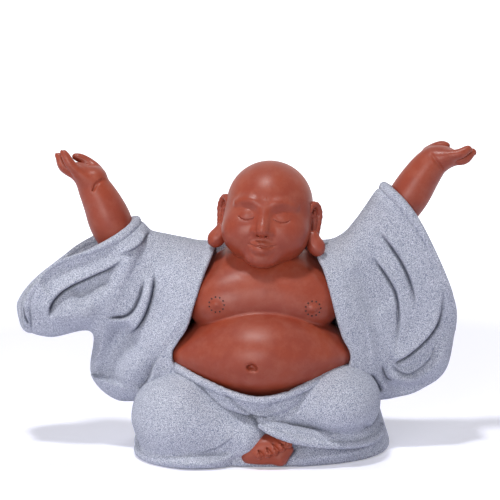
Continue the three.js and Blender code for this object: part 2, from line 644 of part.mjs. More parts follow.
// The hem of the robe, turned up along the lower edge of the right knee
const hem = (grow = 0) => roll({
  path: [
    lap(-1, -2.6, 20.8), lap(7.2, -4.2, 17.2), lap(18, -4.4, 13.8), lap(33, -2, 11.3), lap(46.5, 6, 9.9),
    lap(54.6, 15, 10.8), lap(58, 25, 14.4),
  ],
  radii: [0.7, 1, 1, 1.05, 1.05, 1, 0.6].map((share) => share * hemThickness),
  sides: 8,
  steps: 14,
}, grow);

// Seat: a rounded disc of robe that everything stands on, flat underneath
function seatSolid(grow = 0) {
  const profile = new THREE.SplineCurve([
    new THREE.Vector2(seatHalfWidth - 4, 0),
    new THREE.Vector2(seatHalfWidth - 0.5, 4),
    new THREE.Vector2(seatHalfWidth, 10),
    new THREE.Vector2(seatHalfWidth - 2, 18),
    new THREE.Vector2(seatHalfWidth - 9, seatHeight - 3),
    new THREE.Vector2(seatHalfWidth - 18, seatHeight),
    new THREE.Vector2(0, seatHeight),
  ]).getPoints(9).map((p, i, all) => new THREE.Vector2(
    i === all.length - 1 ? 0 : Math.max(p.x + grow, 0),
    i === 0 ? 0 : Math.max(p.y, 0) + grow,
  ));
  const turnedShape = new THREE.LatheGeometry([new THREE.Vector2(0, 0), ...profile], 36)
    .rotateX(Math.PI / 2)
    .scale(1, seatHalfDepth / seatHalfWidth, 1)
    .translate(0, seatBack, 0);
  return solidFrom(turnedShape);
}

function block(from, to) {
  const size = to.map((value, i) => value - from[i]);
  const centre = to.map((value, i) => (value + from[i]) / 2);
  return solidFrom(new THREE.BoxGeometry(...size).translate(...centre));
}

function disc(radius, from, to, x, y) {
  return solidFrom(new THREE.CylinderGeometry(radius, radius, to - from, 32)
    .rotateX(Math.PI / 2)
    .translate(x, y, (from + to) / 2));
}

// The opening, cut from the front as far as the shoulders
function openFront() {
  const outline = new THREE.Shape(openingLine.slice(0, -1));
  const hole = new THREE.ExtrudeGeometry(outline, { depth: frontReach, bevelEnabled: false })
    .rotateX(Math.PI / 2) // the extrusion now runs along -Y
    .translate(0, shoulderSeam, 0);
  return solidFrom(hole);
}

// Fitting: what lies outside is cut back from what it is luted to
const ground = block([-frontReach * 2, -frontReach * 2, -frontReach], [frontReach * 2, frontReach * 2, 0]);
const underTorso = block(
  [-frontReach, -frontReach, -frontReach],
  [frontReach, frontReach, seatHeight + joint],
);
const torsoCut = wrap(torsoForm, { ...torsoWrap, grow: joint });
const headCut = headSolid(neckJoint);
const kneeCuts = [leftKnee(joint), rightKnee(joint)];
const earCuts = [earSolid(-1, joint), earSolid(1, joint)];
const armCuts = { left: armSolid(arms.left, joint), right: armSolid(arms.right, joint) };
const footCut = footSolid(joint);
const sashCut = sash(joint);
const hemCut = hem(joint);
const seatCut = seatSolid(joint);
const leftEnd = leftRim + placesIn(mouthDepth, leftRim);
const rightEnd = rightRim - placesIn(mouthDepth, rightRim);
const leftHollow = robeBetween(0, leftEnd, -robeWall);
const rightHollow = robeBetween(rightEnd, robeSections.length - 1, -robeWall);
const opening = openFront();
const navelCut = wrap(egg(navel.centre, navel.radii), { centre: navel.centre, around: 12, up: 8 });

const torso = cut(wrap(torsoForm, torsoWrap), headCut, underTorso, navelCut);
const head = headSolid();
const leftEar = cut(earSolid(-1), headCut, torsoCut);
const rightEar = cut(earSolid(1), headCut, torsoCut);
const leftArm = armSolid(arms.left);
const rightArm = armSolid(arms.right);
const foot = cut(footSolid(), ground);
const rightKneeSolid = cut(rightKnee(), torsoCut, footCut);
const leftKneeSolid = cut(leftKnee(), torsoCut, kneeCuts[1], footCut, ground);
const sashSolid = cut(sash(), torsoCut, ...kneeCuts);
const hemSolid = cut(hem(), ...kneeCuts, footCut, sashCut);

// The robe: a cuff, then the sleeve with its half of the front, on each side, and the back
const leftCuffEnd = leftRim + placesIn(cuffWidth, leftRim);
const rightCuffEnd = rightRim - placesIn(cuffWidth, rightRim);
const backPanel = block([-backSeam, shoulderSeam, -1], [backSeam, frontReach, frontReach * 2]);
const backCut = block(
  [-backSeam - joint, shoulderSeam - joint, -2],
  [backSeam + joint, frontReach, frontReach * 2],
);
const fitted = [torsoCut, headCut, ...earCuts, ...kneeCuts, sashCut, hemCut, seatCut];
const leftCuff = cut(robeBetween(leftRim, leftCuffEnd, 0.4), leftHollow, armCuts.left);
const rightCuff = cut(robeBetween(rightCuffEnd, rightRim, 0.4), rightHollow, armCuts.right);
const leftSleeve = cut(
  robeBetween(leftCuffEnd + placesIn(joint, leftRim), middle),
  opening, leftHollow, armCuts.left, backCut, ...fitted,
);
const rightSleeve = cut(
  robeBetween(middle, rightCuffEnd - placesIn(joint, rightRim)),
  opening, rightHollow, armCuts.right, backCut, ...fitted,
);
const robeBack = cut(robeBetween(middle - 3, middle + 3).intersect(backPanel), ...fitted);

const basePlate = cut(
  disc(plateRadius, 0, plateThickness, ...plateCentre),
  disc(ventRadius, -1, plateThickness + 1, ...ventCentre),
);
const seat = cut(
  seatSolid(),
  ...kneeCuts, hemCut, footCut,
  disc(plateRadius + joint, -1, plateThickness + joint, ...plateCentre),
  disc(ventRadius, -1, plateThickness + 10, ...ventCentre),
);

// Clays
const redClay = new THREE.MeshStandardMaterial({ color: 0x9c4a38, roughness: 0.5, metalness: 0 });
const sandClay = new THREE.MeshStandardMaterial({ color: 0xaeb2c4, roughness: 0.95, metalness: 0 });
const bodyClay = new THREE.MeshStandardMaterial({ color: 0x8d8f9c, roughness: 0.9, metalness: 0 });

const figure = new THREE.Group();
function place(name, solid, material) {
  const mesh = new THREE.Mesh(geometryFrom(solid), material);
  mesh.name = name;
  figure.add(mesh);
}

place("torso", torso, redClay);
place("head", head, redClay);
place("left_ear", leftEar, redClay);
place("right_ear", rightEar, redClay);
place("left_forearm", leftArm, redClay);
place("right_forearm", rightArm, redClay);
place("foot", foot, redClay);
place("left_knee_drape", leftKneeSolid, sandClay);
place("right_knee_drape", rightKneeSolid, sandClay);
place("sash", sashSolid, sandClay);
place("hem_roll", hemSolid, sandClay);
place("left_cuff", leftCuff, sandClay);
place("right_cuff", rightCuff, sandClay);
place("left_sleeve", leftSleeve, sandClay);
place("right_sleeve", rightSleeve, sandClay);
place("robe_back", robeBack, sandClay);
place("seat", seat, sandClay);
place("base_plate", basePlate, bodyClay);

export default figure;
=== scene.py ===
# A laughing buddha ornament in smooth red clay and sanded grey clay, modelled in millimetres as
# distance fields, meshed finely and scaled to metres.
import bpy
import math
import numpy as np
from functools import reduce
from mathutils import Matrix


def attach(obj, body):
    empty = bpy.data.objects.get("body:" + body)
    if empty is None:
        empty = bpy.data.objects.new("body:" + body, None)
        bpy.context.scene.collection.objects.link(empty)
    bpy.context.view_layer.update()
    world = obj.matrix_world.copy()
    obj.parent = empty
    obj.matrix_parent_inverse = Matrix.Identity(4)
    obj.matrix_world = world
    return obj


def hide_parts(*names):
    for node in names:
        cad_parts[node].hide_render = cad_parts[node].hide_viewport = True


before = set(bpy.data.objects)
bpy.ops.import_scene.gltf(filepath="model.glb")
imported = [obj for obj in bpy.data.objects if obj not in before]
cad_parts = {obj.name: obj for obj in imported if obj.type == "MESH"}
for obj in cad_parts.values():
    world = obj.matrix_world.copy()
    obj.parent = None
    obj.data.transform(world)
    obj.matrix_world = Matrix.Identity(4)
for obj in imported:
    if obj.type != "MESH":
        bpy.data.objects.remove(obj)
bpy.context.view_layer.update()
mm = 0.001

# What a user would change
camera = {"lens": 163.6, "distance": 1100.0, "elevation": 10.0, "target": (-5.8, 0.0, 96.8)}
lamps = {  # metres and watts; the two low side lamps draw the long shadows on the floor
    "lampKey": {"place": (-0.16, -0.32, 1.13), "size": 0.12, "power": 7.0},
    "lampFront": {"place": (-0.28, -0.96, 0.34), "size": 0.5, "power": 5.0},
    "lampBack": {"place": (0.6, 0.85, 0.8), "size": 0.5, "power": 4.5, "shine": False},
    "lampRight": {"place": (0.95, -0.08, 0.44), "size": 0.1, "power": 1.9, "shine": False},
    "lampLeft": {"place": (-0.95, -0.08, 0.5), "size": 0.1, "power": 2.4, "shine": False},
}
worldLight = {"colour": (0.93, 0.95, 1.0), "strength": 0.1}


# Distance fields: functions from points (n, 3) to distances, negative inside the clay
def turned(spin):
    ax, ay, az = (math.radians(a) for a in spin)
    aboutX = np.array([[1, 0, 0], [0, math.cos(ax), -math.sin(ax)], [0, math.sin(ax), math.cos(ax)]])
    aboutY = np.array([[math.cos(ay), 0, math.sin(ay)], [0, 1, 0], [-math.sin(ay), 0, math.cos(ay)]])
    aboutZ = np.array([[math.cos(az), -math.sin(az), 0], [math.sin(az), math.cos(az), 0], [0, 0, 1]])
    return aboutZ @ aboutY @ aboutX


def egg(centre, radii, spin=(0, 0, 0)):
    middle, size, turn = np.array(centre, float), np.array(radii, float), turned(spin)

    def field(points):
        local = ((points - middle) @ turn) / size
        near = np.sqrt((local ** 2).sum(-1))
        steep = np.sqrt(((local / size) ** 2).sum(-1))
        return near * (near - 1) / np.maximum(steep, 1e-9)
    return field


def limb(start, end, startRadius, endRadius):
    a, along = np.array(start, float), np.array(end, float) - np.array(start, float)

    def field(points):
        offset = points - a
        share = np.clip(offset @ along / (along @ along), 0, 1)
        away = np.sqrt(((offset - share[..., None] * along) ** 2).sum(-1))
        return away - (startRadius + (endRadius - startRadius) * share)
    return field


def softMin(a, b, softness):
    share = np.maximum(softness - np.abs(a - b), 0) / softness
    return np.minimum(a, b) - share * share * softness / 4


def softMax(a, b, softness):
    return -softMin(-a, -b, softness)


# Forms joined softly, or what they share when the mix is softMax
def blend(softness, *forms, mix=softMin):
    def field(points):
        return reduce(lambda total, form: mix(total, form(points), softness), forms[1:], forms[0](points))
    return field


def carved(softness, form, *tools):
    return lambda points: softMax(form(points), -blend(softness, *tools)(points), softness)


def eased(share):
    return share * share * (3 - 2 * share)


# A smooth curve through points, as many places as asked for
def smoothLine(points, count):
    points = np.array(points, float)
    padded = np.vstack([2 * points[0] - points[1], points, 2 * points[-1] - points[-2]])
    places = np.linspace(0, len(points) - 1, count)
    start = np.minimum(places.astype(int), len(points) - 2)
    t = (places - start)[:, None]
    a, b, c, d = (padded[start + i] for i in range(4))
    return b + t * ((c - a) / 2 + t * ((2 * a - 5 * b + 4 * c - d) / 2 + t * (3 * (b - c) + d - a) / 2))


def chain(points, radii, softness=0.6, count=None):
    count = count or 2 * len(points)
    line = smoothLine(points, count)
    if len(radii) == len(points):
        thick = smoothLine([[r] for r in radii], count)[:, 0]
    else:
        thick = np.interp(np.linspace(0, 1, count), np.linspace(0, 1, len(radii)), radii)
    return blend(softness, *(limb(line[i], line[i + 1], thick[i], thick[i + 1]) for i in range(count - 1)))


# A form that is only worked out within a ball round it
def nearby(form, centre, radius, margin=3.0):
    def field(points):
        away = np.linalg.norm(points - np.array(centre, float), axis=-1) - radius
        gap = np.maximum(away, 0) + margin
        close = away < margin
        gap[close] = form(points[close])
        return gap
    return field


def roll(points, radii, softness=0.6, count=None):
    line = np.array(points, float)
    middle = (line.min(0) + line.max(0)) / 2
    reach = np.linalg.norm(line - middle, axis=1).max() + max(radii)
    return nearby(chain(points, radii, softness, count), middle, reach)


# Creases are drawn as lines in front view. Cloth beside a stepped one stands proud by rise on one side, left of
# the line's way for side 1, and lies back by sink on the other, fading over spread. A wave does the same on both
# sides and a crease is only cut. taper is the share of the line over which each end fades.
def stepped(path, side, rise, sink, spread, cut=0, width=0.45, taper=(0.25, 0.25)):
    return {"path": path, "side": side, "rise": rise, "sink": sink, "spread": spread, "cut": cut, "width": width,
            "taper": taper}


def wave(path, rise, spread, taper=(0.25, 0.25)):
    return stepped(path, 1, rise, -rise, spread, taper=taper)


def crease(path, cut, width, taper=(0.25, 0.25)):
    return stepped(path, 1, 0, 0, 3.0, cut, width, taper)


# The way from the nearest place on a straight line to each point, and that place's share of the line
def offLine(x, z, start, end):
    dx, dz = end - start
    share = np.clip(((x - start[0]) * dx + (z - start[1]) * dz) / (dx * dx + dz * dz), 0, 1)
    return x - start[0] - share * dx, z - start[1] - share * dz, share


# Height that the creases give each place. reach is how many spreads away a crease is still felt.
def reliefOf(x, z, folds, strength=1.0, reach=2.6, stepWidth=0.9):
    height = np.zeros(x.shape)
    for fold in folds:
        line = smoothLine(fold["path"], 5 * len(fold["path"]))
        margin = reach * fold["spread"]
        low, high = line.min(0) - margin, line.max(0) + margin
        near = np.nonzero((x > low[0]) & (x < high[0]) & (z > low[1]) & (z < high[1]))
        px, pz = x[near], z[near]
        best, side, share = np.full(px.shape, 1e9), np.ones(px.shape), np.zeros(px.shape)
        for i, (start, end) in enumerate(zip(line, line[1:])):
            ox, oz, u = offLine(px, pz, start, end)
            far = ox * ox + oz * oz
            closer = far < best
            best = np.where(closer, far, best)
            side = np.where(closer, np.sign((end[0] - start[0]) * oz - (end[1] - start[1]) * ox), side)
            share = np.where(closer, (i + u) / (len(line) - 1), share)
        away = np.sqrt(best)
        starts, ends = (max(part, 1e-3) for part in fold["taper"])
        fade = eased(np.clip(share / starts, 0, 1) * np.clip((1 - share) / ends, 0, 1))
        step = eased(np.clip(away * side * fold["side"] / stepWidth + 0.5, 0, 1))
        lift = strength * (fold["rise"] * step - fold["sink"] * (1 - step))
        height[near] += fade * (lift * np.exp(-(away / fold["spread"]) ** 2)
                                - fold["cut"] * np.exp(-(away / fold["width"]) ** 2))
    return height


# How deep in a cut crease each place lies, 0 to 1, which sets the painted shade laid into the creases
def paintedCreaseShade(vertices, folds, fullCut=2, least=0.5, width=0.55):
    lines = [crease(fold["path"], min(fold["cut"] / fullCut, 1), width, fold["taper"])
             for fold in folds if fold["cut"] > least]
    return np.clip(-reliefOf(vertices[:, 0], vertices[:, 2], lines), 0, 1)


# Meshes
def placed(name, data):
    thing = bpy.data.objects.new(name, data)
    bpy.context.scene.collection.objects.link(thing)
    return thing


def makePiece(name, surface, nodes, clay, dark=None):
    vertices, faces = surface
    mesh = bpy.data.meshes.new(name)
    mesh.from_pydata((vertices * mm).tolist(), [], faces if isinstance(faces, list) else faces.tolist())
    mesh.polygons.foreach_set("use_smooth", np.full(len(mesh.polygons), True))
    mesh.materials.append(clay)
    mesh.update()
    # dark is painted shade for the cut creases, stored in the crease attribute
    if dark is not None:
        mesh.attributes.new("crease", "FLOAT", "POINT").data.foreach_set("value", dark.astype(np.float32))
    piece = placed(name, mesh)
    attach(piece, "root")
    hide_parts(*nodes)
    print(name, len(vertices), "vertices")
    return piece


# A ball drawn in until it touches a form. focus crowds its points to the front, belt to its waist.
def wrap(form, centre, around, up, focus=0.0, belt=0.0, start=60.0, stride=0.92):
    turn = np.linspace(-math.pi, math.pi, around, endpoint=False)
    dip = np.linspace(0, math.pi, up + 1)[1:-1]
    turn = turn - focus * np.sin(turn)
    dip = dip + belt * np.sin(2 * dip) / 2
    dips, turns = np.meshgrid(dip, turn, indexing="ij")
    ways = np.stack([np.sin(dips) * np.sin(turns), -np.sin(dips) * np.cos(turns), np.cos(dips)], -1)
    ways = np.vstack([ways.reshape(-1, 3), [[0, 0, 1], [0, 0, -1]]])
    middle = np.array(centre, float)
    reach = np.full(len(ways), start)
    active = np.arange(len(ways))
    for step in range(80):
        gap = form(middle + ways[active] * reach[active, None])
        reach[active] = np.maximum(reach[active] - gap * stride, 0.5)
        active = active[np.abs(gap) > 2e-4]
        if len(active) == 0:
            break
    places = middle + ways * reach[:, None]
    rows = up - 1
    index = np.arange(rows * around).reshape(rows, around)
    nextIndex = np.roll(index, -1, axis=1)
    quads = np.stack([index[:-1], index[1:], nextIndex[1:], nextIndex[:-1]], -1).reshape(-1, 4)
    top = [[len(ways) - 2, a, b] for a, b in zip(index[0], nextIndex[0])]
    bottom = [[len(ways) - 1, b, a] for a, b in zip(index[-1], nextIndex[-1])]
    return places, quads.tolist() + top + bottom


# The surface of a grid of distances, one point to each cell that it passes through
def meshGrid(values, low, step):
    inside = values < 0
    corners = np.array(list(np.ndindex(2, 2, 2)))
    nx, ny, nz = (n - 1 for n in values.shape)
    count = sum(inside[i:nx + i, j:ny + j, k:nz + k].astype(np.int8) for i, j, k in corners)
    cells = np.argwhere((count > 0) & (count < 8))
    levels = [values[tuple((cells + corner).T)] for corner in corners]
    total, hits = np.zeros((len(cells), 3)), np.zeros(len(cells))
    for a, b in ((a, b) for a in range(8) for b in range(a + 1, 8)):
        way = corners[b] - corners[a]
        if np.abs(way).sum() == 1:
            crossed = (levels[a] < 0) != (levels[b] < 0)
            share = np.where(crossed, levels[a] / np.where(crossed, levels[a] - levels[b], 1), 0)
            total += crossed[:, None] * (corners[a] + share[:, None] * way)
            hits += crossed
    vertices = (cells + total / hits[:, None]) * step + np.array(low)
    number = np.full((nx, ny, nz), -1)
    number[tuple(cells.T)] = np.arange(len(cells))
    faces, unit = [], np.eye(3, dtype=int)
    for axis in range(3):
        one, two = unit[(axis + 1) % 3], unit[(axis + 2) % 3]
        head, tail = [slice(1, -1)] * 3, [slice(1, -1)] * 3
        head[axis], tail[axis] = slice(0, -1), slice(1, None)
        starts, ends = inside[tuple(head)], inside[tuple(tail)]
        for leaving in (True, False):
            found = np.argwhere((starts & ~ends) if leaving else (~starts & ends)) + 1 - unit[axis]
            ring = np.stack([number[tuple((found - away).T)] for away in (0 * one, one, one + two, two)], -1)
            faces.append(ring if leaving else ring[:, ::-1])
    return vertices, np.vstack(faces)


def gridOf(low, high, step):
    return [np.arange(low[i], high[i] + step, step) for i in range(3)]


# Distances of a form on a grid, worked out one sheet of points at a time
def onGrid(form, xs, ys, zs):
    values = np.empty((len(xs), len(ys), len(zs)), np.float32)
    sheet = np.empty((len(ys) * len(zs), 3))
    sheet[:, 1], sheet[:, 2] = np.repeat(ys, len(zs)), np.tile(zs, len(ys))
    for i, x in enumerate(xs):
        sheet[:, 0] = x
        values[i] = form(sheet).reshape(len(ys), len(zs))
    return values


def meshField(form, low, high, step):
    return meshGrid(onGrid(form, *gridOf(low, high, step)), low, step)


# Points moved from the head's own frame
def posed(vertices, pose):
    return vertices @ pose[0].T + pose[1]


# Maths written as expressions: a Signal is one output of a node in a Graph
class Signal:
    def __init__(self, graph, socket):
        self.graph, self.socket = graph, socket

    def calc(self, operation, *values):
        return self.graph.node("ShaderNodeMath", {"operation": operation}, values)

    def __add__(self, other):
        return self.calc("ADD", self, other)

    def __sub__(self, other):
        return self.calc("SUBTRACT", self, other)

    def __rsub__(self, other):
        return self.calc("SUBTRACT", other, self)

    def __mul__(self, other):
        return self.calc("MULTIPLY", self, other)

    __radd__, __rmul__ = __add__, __mul__


# The nodes of a material, a world or a group
class Graph:
    def __init__(self, owner):
        self.owner = owner
        if hasattr(owner, "use_nodes"):
            owner.use_nodes = True
        self.tree = getattr(owner, "node_tree", owner)
        self.tree.nodes.clear()

    # A node of any type: its settings first, then the values or links of its sockets
    def node(self, kind, settings=None, sockets=(), output=0):
        made = self.tree.nodes.new(kind)
        for key, value in (settings or {}).items():
            if key == "stops":
                while len(made.color_ramp.elements) < len(value):
                    made.color_ramp.elements.new(0.5)
                for element, (place, level) in zip(made.color_ramp.elements, value):
                    element.position, element.color = place, (level, level, level, 1)
            else:
                setattr(made, key, value)
        pairs = sockets.items() if isinstance(sockets, dict) else enumerate(sockets)
        for key, value in pairs:
            if isinstance(value, Signal):
                self.tree.links.new(value.socket, made.inputs[key])
            else:
                made.inputs[key].default_value = value
        return Signal(self, made.outputs[output] if made.outputs else None)

    def noise(self, size, detail=3.0, roughness=0.5):
        return self.node("ShaderNodeTexNoise", {}, {"Vector": self.coords, "Scale": 1 / (size * mm),
                                                    "Detail": detail, "Roughness": roughness})

    def ramp(self, value, *stops):
        return self.node("ShaderNodeValToRGB", {"stops": stops}, {0: value})

    # A mix of two colours, each a signal or red, green and blue from 0 to 255
    def tint(self, share, one, two):
        one, two = (clay if isinstance(clay, Signal) else clayColour(*clay) for clay in (one, two))
        return self.node("ShaderNodeMix", {"data_type": "RGBA"}, {0: share, 6: one, 7: two}, 2)

    @property
    def coords(self):
        if not hasattr(self, "objectCoords"):
            self.objectCoords = self.node("ShaderNodeTexCoord", {}, (), "Object")
        return self.objectCoords

    # 1 for what the camera sees, straight or in a gloss or glass, and 0 for what only lights
    def seen(self):
        camera, glossy, glass = (self.node("ShaderNodeLightPath", {}, (), f"Is {ray} Ray")
                                 for ray in ("Camera", "Glossy", "Transmission"))
        return camera.calc("MAXIMUM", camera.calc("MAXIMUM", camera, glossy), glass)

    def clay(self, look, colour, height, rough):
        bump = {"Strength": look["bump"], "Distance": look["grainHeight"], "Height": height}
        surface = self.node("ShaderNodeBsdfPrincipled", {}, {
            "Base Color": colour, "Roughness": rough, "Normal": self.node("ShaderNodeBump", {}, bump),
            "Specular IOR Level": look["shine"]})
        self.node("ShaderNodeOutputMaterial", {}, {"Surface": surface})
        return self.owner


def clayColour(red, green, blue):
    return tuple(((c / 255 + 0.055) / 1.055) ** 2.4 for c in (red, green, blue)) + (1,)


# Red clay, smoothed wet and fired to a satin skin
redClayLook = {
    "body": (135, 56, 39), "warm": (150, 64, 36), "pale": (157, 88, 70), "speck": (88, 30, 20), "patch": 14.0,
    "grain": 0.35, "dents": 2.2, "roughness": 0.4, "shine": 0.35, "bump": 0.5, "grainHeight": 0.00006,
}


def makeRedClay(look, name="smooth_red_clay"):
    shade = Graph(bpy.data.materials.new(name))
    patches = shade.ramp(shade.noise(look["patch"], 3), (0.35, 0), (0.7, 1))
    bloom = shade.ramp(shade.noise(look["patch"] * 0.4, 4, 0.6), (0.45, 0), (0.8, 1))
    grain = shade.noise(look["grain"], 3, 0.6)
    colour = shade.tint(patches * 0.55, look["body"], look["warm"])
    colour = shade.tint(bloom * 0.5, colour, look["pale"])
    colour = shade.tint(shade.ramp(grain, (0.3, 1), (0.45, 0)) * 0.22, colour, look["speck"])
    height = grain * 0.7 + shade.noise(look["dents"], 2) * 0.6
    return shade.clay(look, colour, height, look["roughness"] + (grain - 0.5) * 0.18 + (patches - 0.5) * 0.06)


# Grey-blue clay mixed with sand, left rough, with painted shade darkening the cut creases
sandClayLook = {
    "body": (170, 174, 192), "dark": (78, 86, 114), "light": (236, 238, 244), "speck": (96, 103, 130),
    # crease is the colour of the painted shade in the cut creases
    "cloud": (150, 156, 180), "crease": (34, 40, 60), "grain": 0.37, "fine": 0.26, "patch": 9, "roughness": 0.92,
    "shine": 0.3, "bump": 0.7, "grainHeight": 0.00016,
}


def makeSandClay(look, name="sanded_grey_clay"):
    shade = Graph(bpy.data.materials.new(name))
    grains = shade.ramp(shade.noise(look["grain"], 2, 0.7), (0.4, 0), (0.6, 1))
    fine = shade.noise(look["fine"], 2, 0.6)
    cloud = shade.ramp(shade.noise(look["patch"], 3), (0.3, 0), (0.7, 1))
    colour = shade.tint(0.3, shade.tint(grains, look["dark"], look["light"]), look["body"])
    colour = shade.tint(shade.ramp(fine, (0.3, 1), (0.44, 0)) * 0.35, colour, look["speck"])
    colour = shade.tint(cloud * 0.12, colour, look["cloud"])
    # Painted shade: the crease attribute mixes the crease colour into the cut creases
    if look["crease"]:
        depth = shade.node("ShaderNodeAttribute", {"attribute_name": "crease"}, (), "Fac")
        colour = shade.tint(depth * 0.85, colour, look["crease"])
    return shade.clay(look, colour, grains * 0.7 + fine * 0.6, look["roughness"] + (fine - 0.5) * 0.1)


redClay = makeRedClay(redClayLook)
sandClay = makeSandClay(sandClayLook)
bodyClay = makeSandClay({**sandClayLook, "body": (150, 152, 164), "light": (172, 174, 184), "crease": None},
                        "unsanded_body_clay")
# Near-black clay for the nipple dots, painted shade standing in for the punched holes
holeShadeClay = makeRedClay({**redClayLook, "body": (42, 16, 12), "warm": (52, 20, 14), "pale": (60, 30, 24)},
                       "painted_hole_shade_clay")
print("clays made")


def bothSides(make):
    return [make(-1), make(1)]


# Chest and belly
torsoLook = {
    "bellyWide": (46, 29, 13.5), "bellyRound": (36, 37.5, 24),
    "navel": ((-5.3, -49.4, 49.8), (2.2, 3.2, 1.5), (0, -14, 0)),
    "navelFold": ((-3.9, -49.2, 49.0), (1.5, 2.4, 1.0), (0, 10, 0)),
    "nipples": [(-21.6, 76.0), (24.0, 74.1)], "dots": 11, "ring": 3.6, "dotRadius": 0.42,
}
belly = blend(10, egg([0, -12, 51.5], torsoLook["bellyRound"]), egg([0, -14, 50], torsoLook["bellyWide"]))
chest = blend(6, egg([1, -3, 77], [35, 29, 24]), egg([-17.5, -17, 75], [19, 14.5, 15]),
              egg([19, -17, 75], [19, 14.5, 15]))
throat = limb([1.5, -5, 93], [2, -7, 104], 18, 12.5)
torsoForm = blend(1.2, belly, blend(8, chest, throat))
underRobe = blend(16, belly, chest, throat)
torsoShape = carved(1.3, torsoForm, blend(1, egg(*torsoLook["navel"]), egg(*torsoLook["navelFold"])))
for x, z in torsoLook["nipples"]:
    torsoShape = blend(1.5, torsoShape, egg([x, -30.6, z], [1.9, 1.2, 1.6]))
surface = wrap(torsoShape, [0, -4, 64], around=380, up=250, focus=0.66, belt=0.12)
torso = makePiece("torso_skin", surface, ["torso"], redClay)


# Rings of dots round the nipples: dark balls laid on the skin along a ray, painted shade standing in for punched
# holes
def ringTree(clay):
    graph = Graph(bpy.data.node_groups.new("punched_ring", "GeometryNodeTree"))
    sockets = {"Skin": "Object", "Centre": "Vector", "Dots": "Int", "Ring": "Float", "Dot": "Float"}
    for name, kind in sockets.items():
        graph.tree.interface.new_socket(name, in_out="INPUT", socket_type="NodeSocket" + kind)
    graph.tree.interface.new_socket("Geometry", in_out="OUTPUT", socket_type="NodeSocketGeometry")
    skin, centre, dots, ring, dot = (graph.node("NodeGroupInput", {}, (), name) for name in sockets)

    def made(kind, sockets, output=0):
        return graph.node("GeometryNode" + kind, {}, sockets, output)
    flat = made("MeshCircle", {"Vertices": dots, "Radius": ring})
    upright = made("Transform", {"Geometry": flat, "Translation": centre, "Rotation": (math.pi / 2, 0, 0)})
    target = made("ObjectInfo", {"Object": skin}, "Geometry")
    ray = {"Target Geometry": target, "Ray Direction": (0, 1, 0), "Ray Length": 0.2}
    hit = made("Raycast", ray, "Hit Position")
    places = made("SetPosition", {"Geometry": upright, "Position": hit})
    ball = made("MeshIcoSphere", {"Radius": dot, "Subdivisions": 2})
    balls = made("RealizeInstances", {"Geometry": made("InstanceOnPoints", {"Points": places, "Instance": ball})})
    coated = made("SetMaterial", {"Geometry": balls, "Material": clay})
    graph.node("NodeGroupOutput", {}, {"Geometry": coated})
    return graph.tree


def punchRing(name, place, look, tree, skin):
    holder = placed(name, bpy.data.meshes.new(name))
    ring = holder.modifiers.new("ring", "NODES")
    ring.node_group = tree
    values = {"Skin": skin, "Centre": (place[0] * mm, -0.1, place[1] * mm), "Dots": look["dots"],
              "Ring": look["ring"] * mm, "Dot": look["dotRadius"] * mm}
    for socket in tree.interface.items_tree:
        if socket.in_out == "INPUT" and socket.name in values:
            ring[socket.identifier] = values[socket.name]
    view = holder.evaluated_get(bpy.context.evaluated_depsgraph_get())
    mesh = bpy.data.meshes.new_from_object(view)
    holder.modifiers.clear()
    holder.data = mesh
    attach(holder, "root")
    return holder


punched = ringTree(holeShadeClay)
for side, place in zip(("left", "right"), torsoLook["nipples"]):
    punchRing("dots_" + side, place, torsoLook, punched, torso)
print("torso made")


# Head: calm, eyes closed, worked in its own frame and then tilted
headLook = {"middle": (2.6, -11, 116), "spin": (-6, 4, -6), "eyeApart": 8.4}
headPose = (turned(headLook["spin"]), np.array(headLook["middle"], float))
skull = egg([0.5, 2, 5], [20.7, 22, 20.8])
jaw = egg([0, -2.5, -8.5], [20.8, 18, 16])
headMass = blend(7, skull, jaw, egg([0, -15.0, -20.2], [6.5, 4.6, 3.9]),
                 *bothSides(lambda s: egg([s * 11, -12.3, -8], [7.6, 6.6, 7])))
brows = bothSides(lambda s: chain([[s * 3.4, -18.6, 4.6], [s * 6, -18.2, 6.2], [s * 9.5, -16.9, 6.9],
                                   [s * 13.6, -14.4, 5.4]], [0.9, 1.3, 1.3, 0.7], 1.5))
sockets = bothSides(lambda s: egg([s * headLook["eyeApart"], -22.6, 1.6], [5.6, 3.2, 3.4], (0, 0, s * 14)))
eyes = bothSides(lambda s: egg([s * headLook["eyeApart"], -14.6, -0.2], [5.2, 4.5, 3.9], (0, 0, s * 14)))
nostrilSides = bothSides(lambda s: egg([s * 2.9, -20.0, -7.3], [1.8, 2.4, 1.7]))
bridge = chain([[0, -18.4, 4.5], [0, -19.6, 0], [0, -21.8, -4.6], [0, -22.5, -6.8]], [1.5, 1.7, 2.1, 2.5], 2)
upperLip = bothSides(lambda s: chain([[s * 6.2, -17.2, -13.0], [s * 3, -19.4, -13.4], [s * 0.9, -20.5, -12.9]],
                                     [0.5, 1.2, 1.1], 1))
lowerLip = chain([[-5, -18, -14.4], [-2.4, -19.5, -15.7], [0, -19.9, -16.0], [2.4, -19.5, -15.7], [5, -18, -14.4]],
                 [0.6, 1.4, 1.6, 1.4, 0.6], 1)
headForm = blend(3.5, headMass, *brows)
headForm = carved(4, headForm, *sockets)
headForm = blend(1.2, headForm, *eyes)
headForm = blend(2.4, headForm, blend(1.8, bridge, *nostrilSides))
headForm = blend(1.6, headForm, blend(1.2, *upperLip, lowerLip))
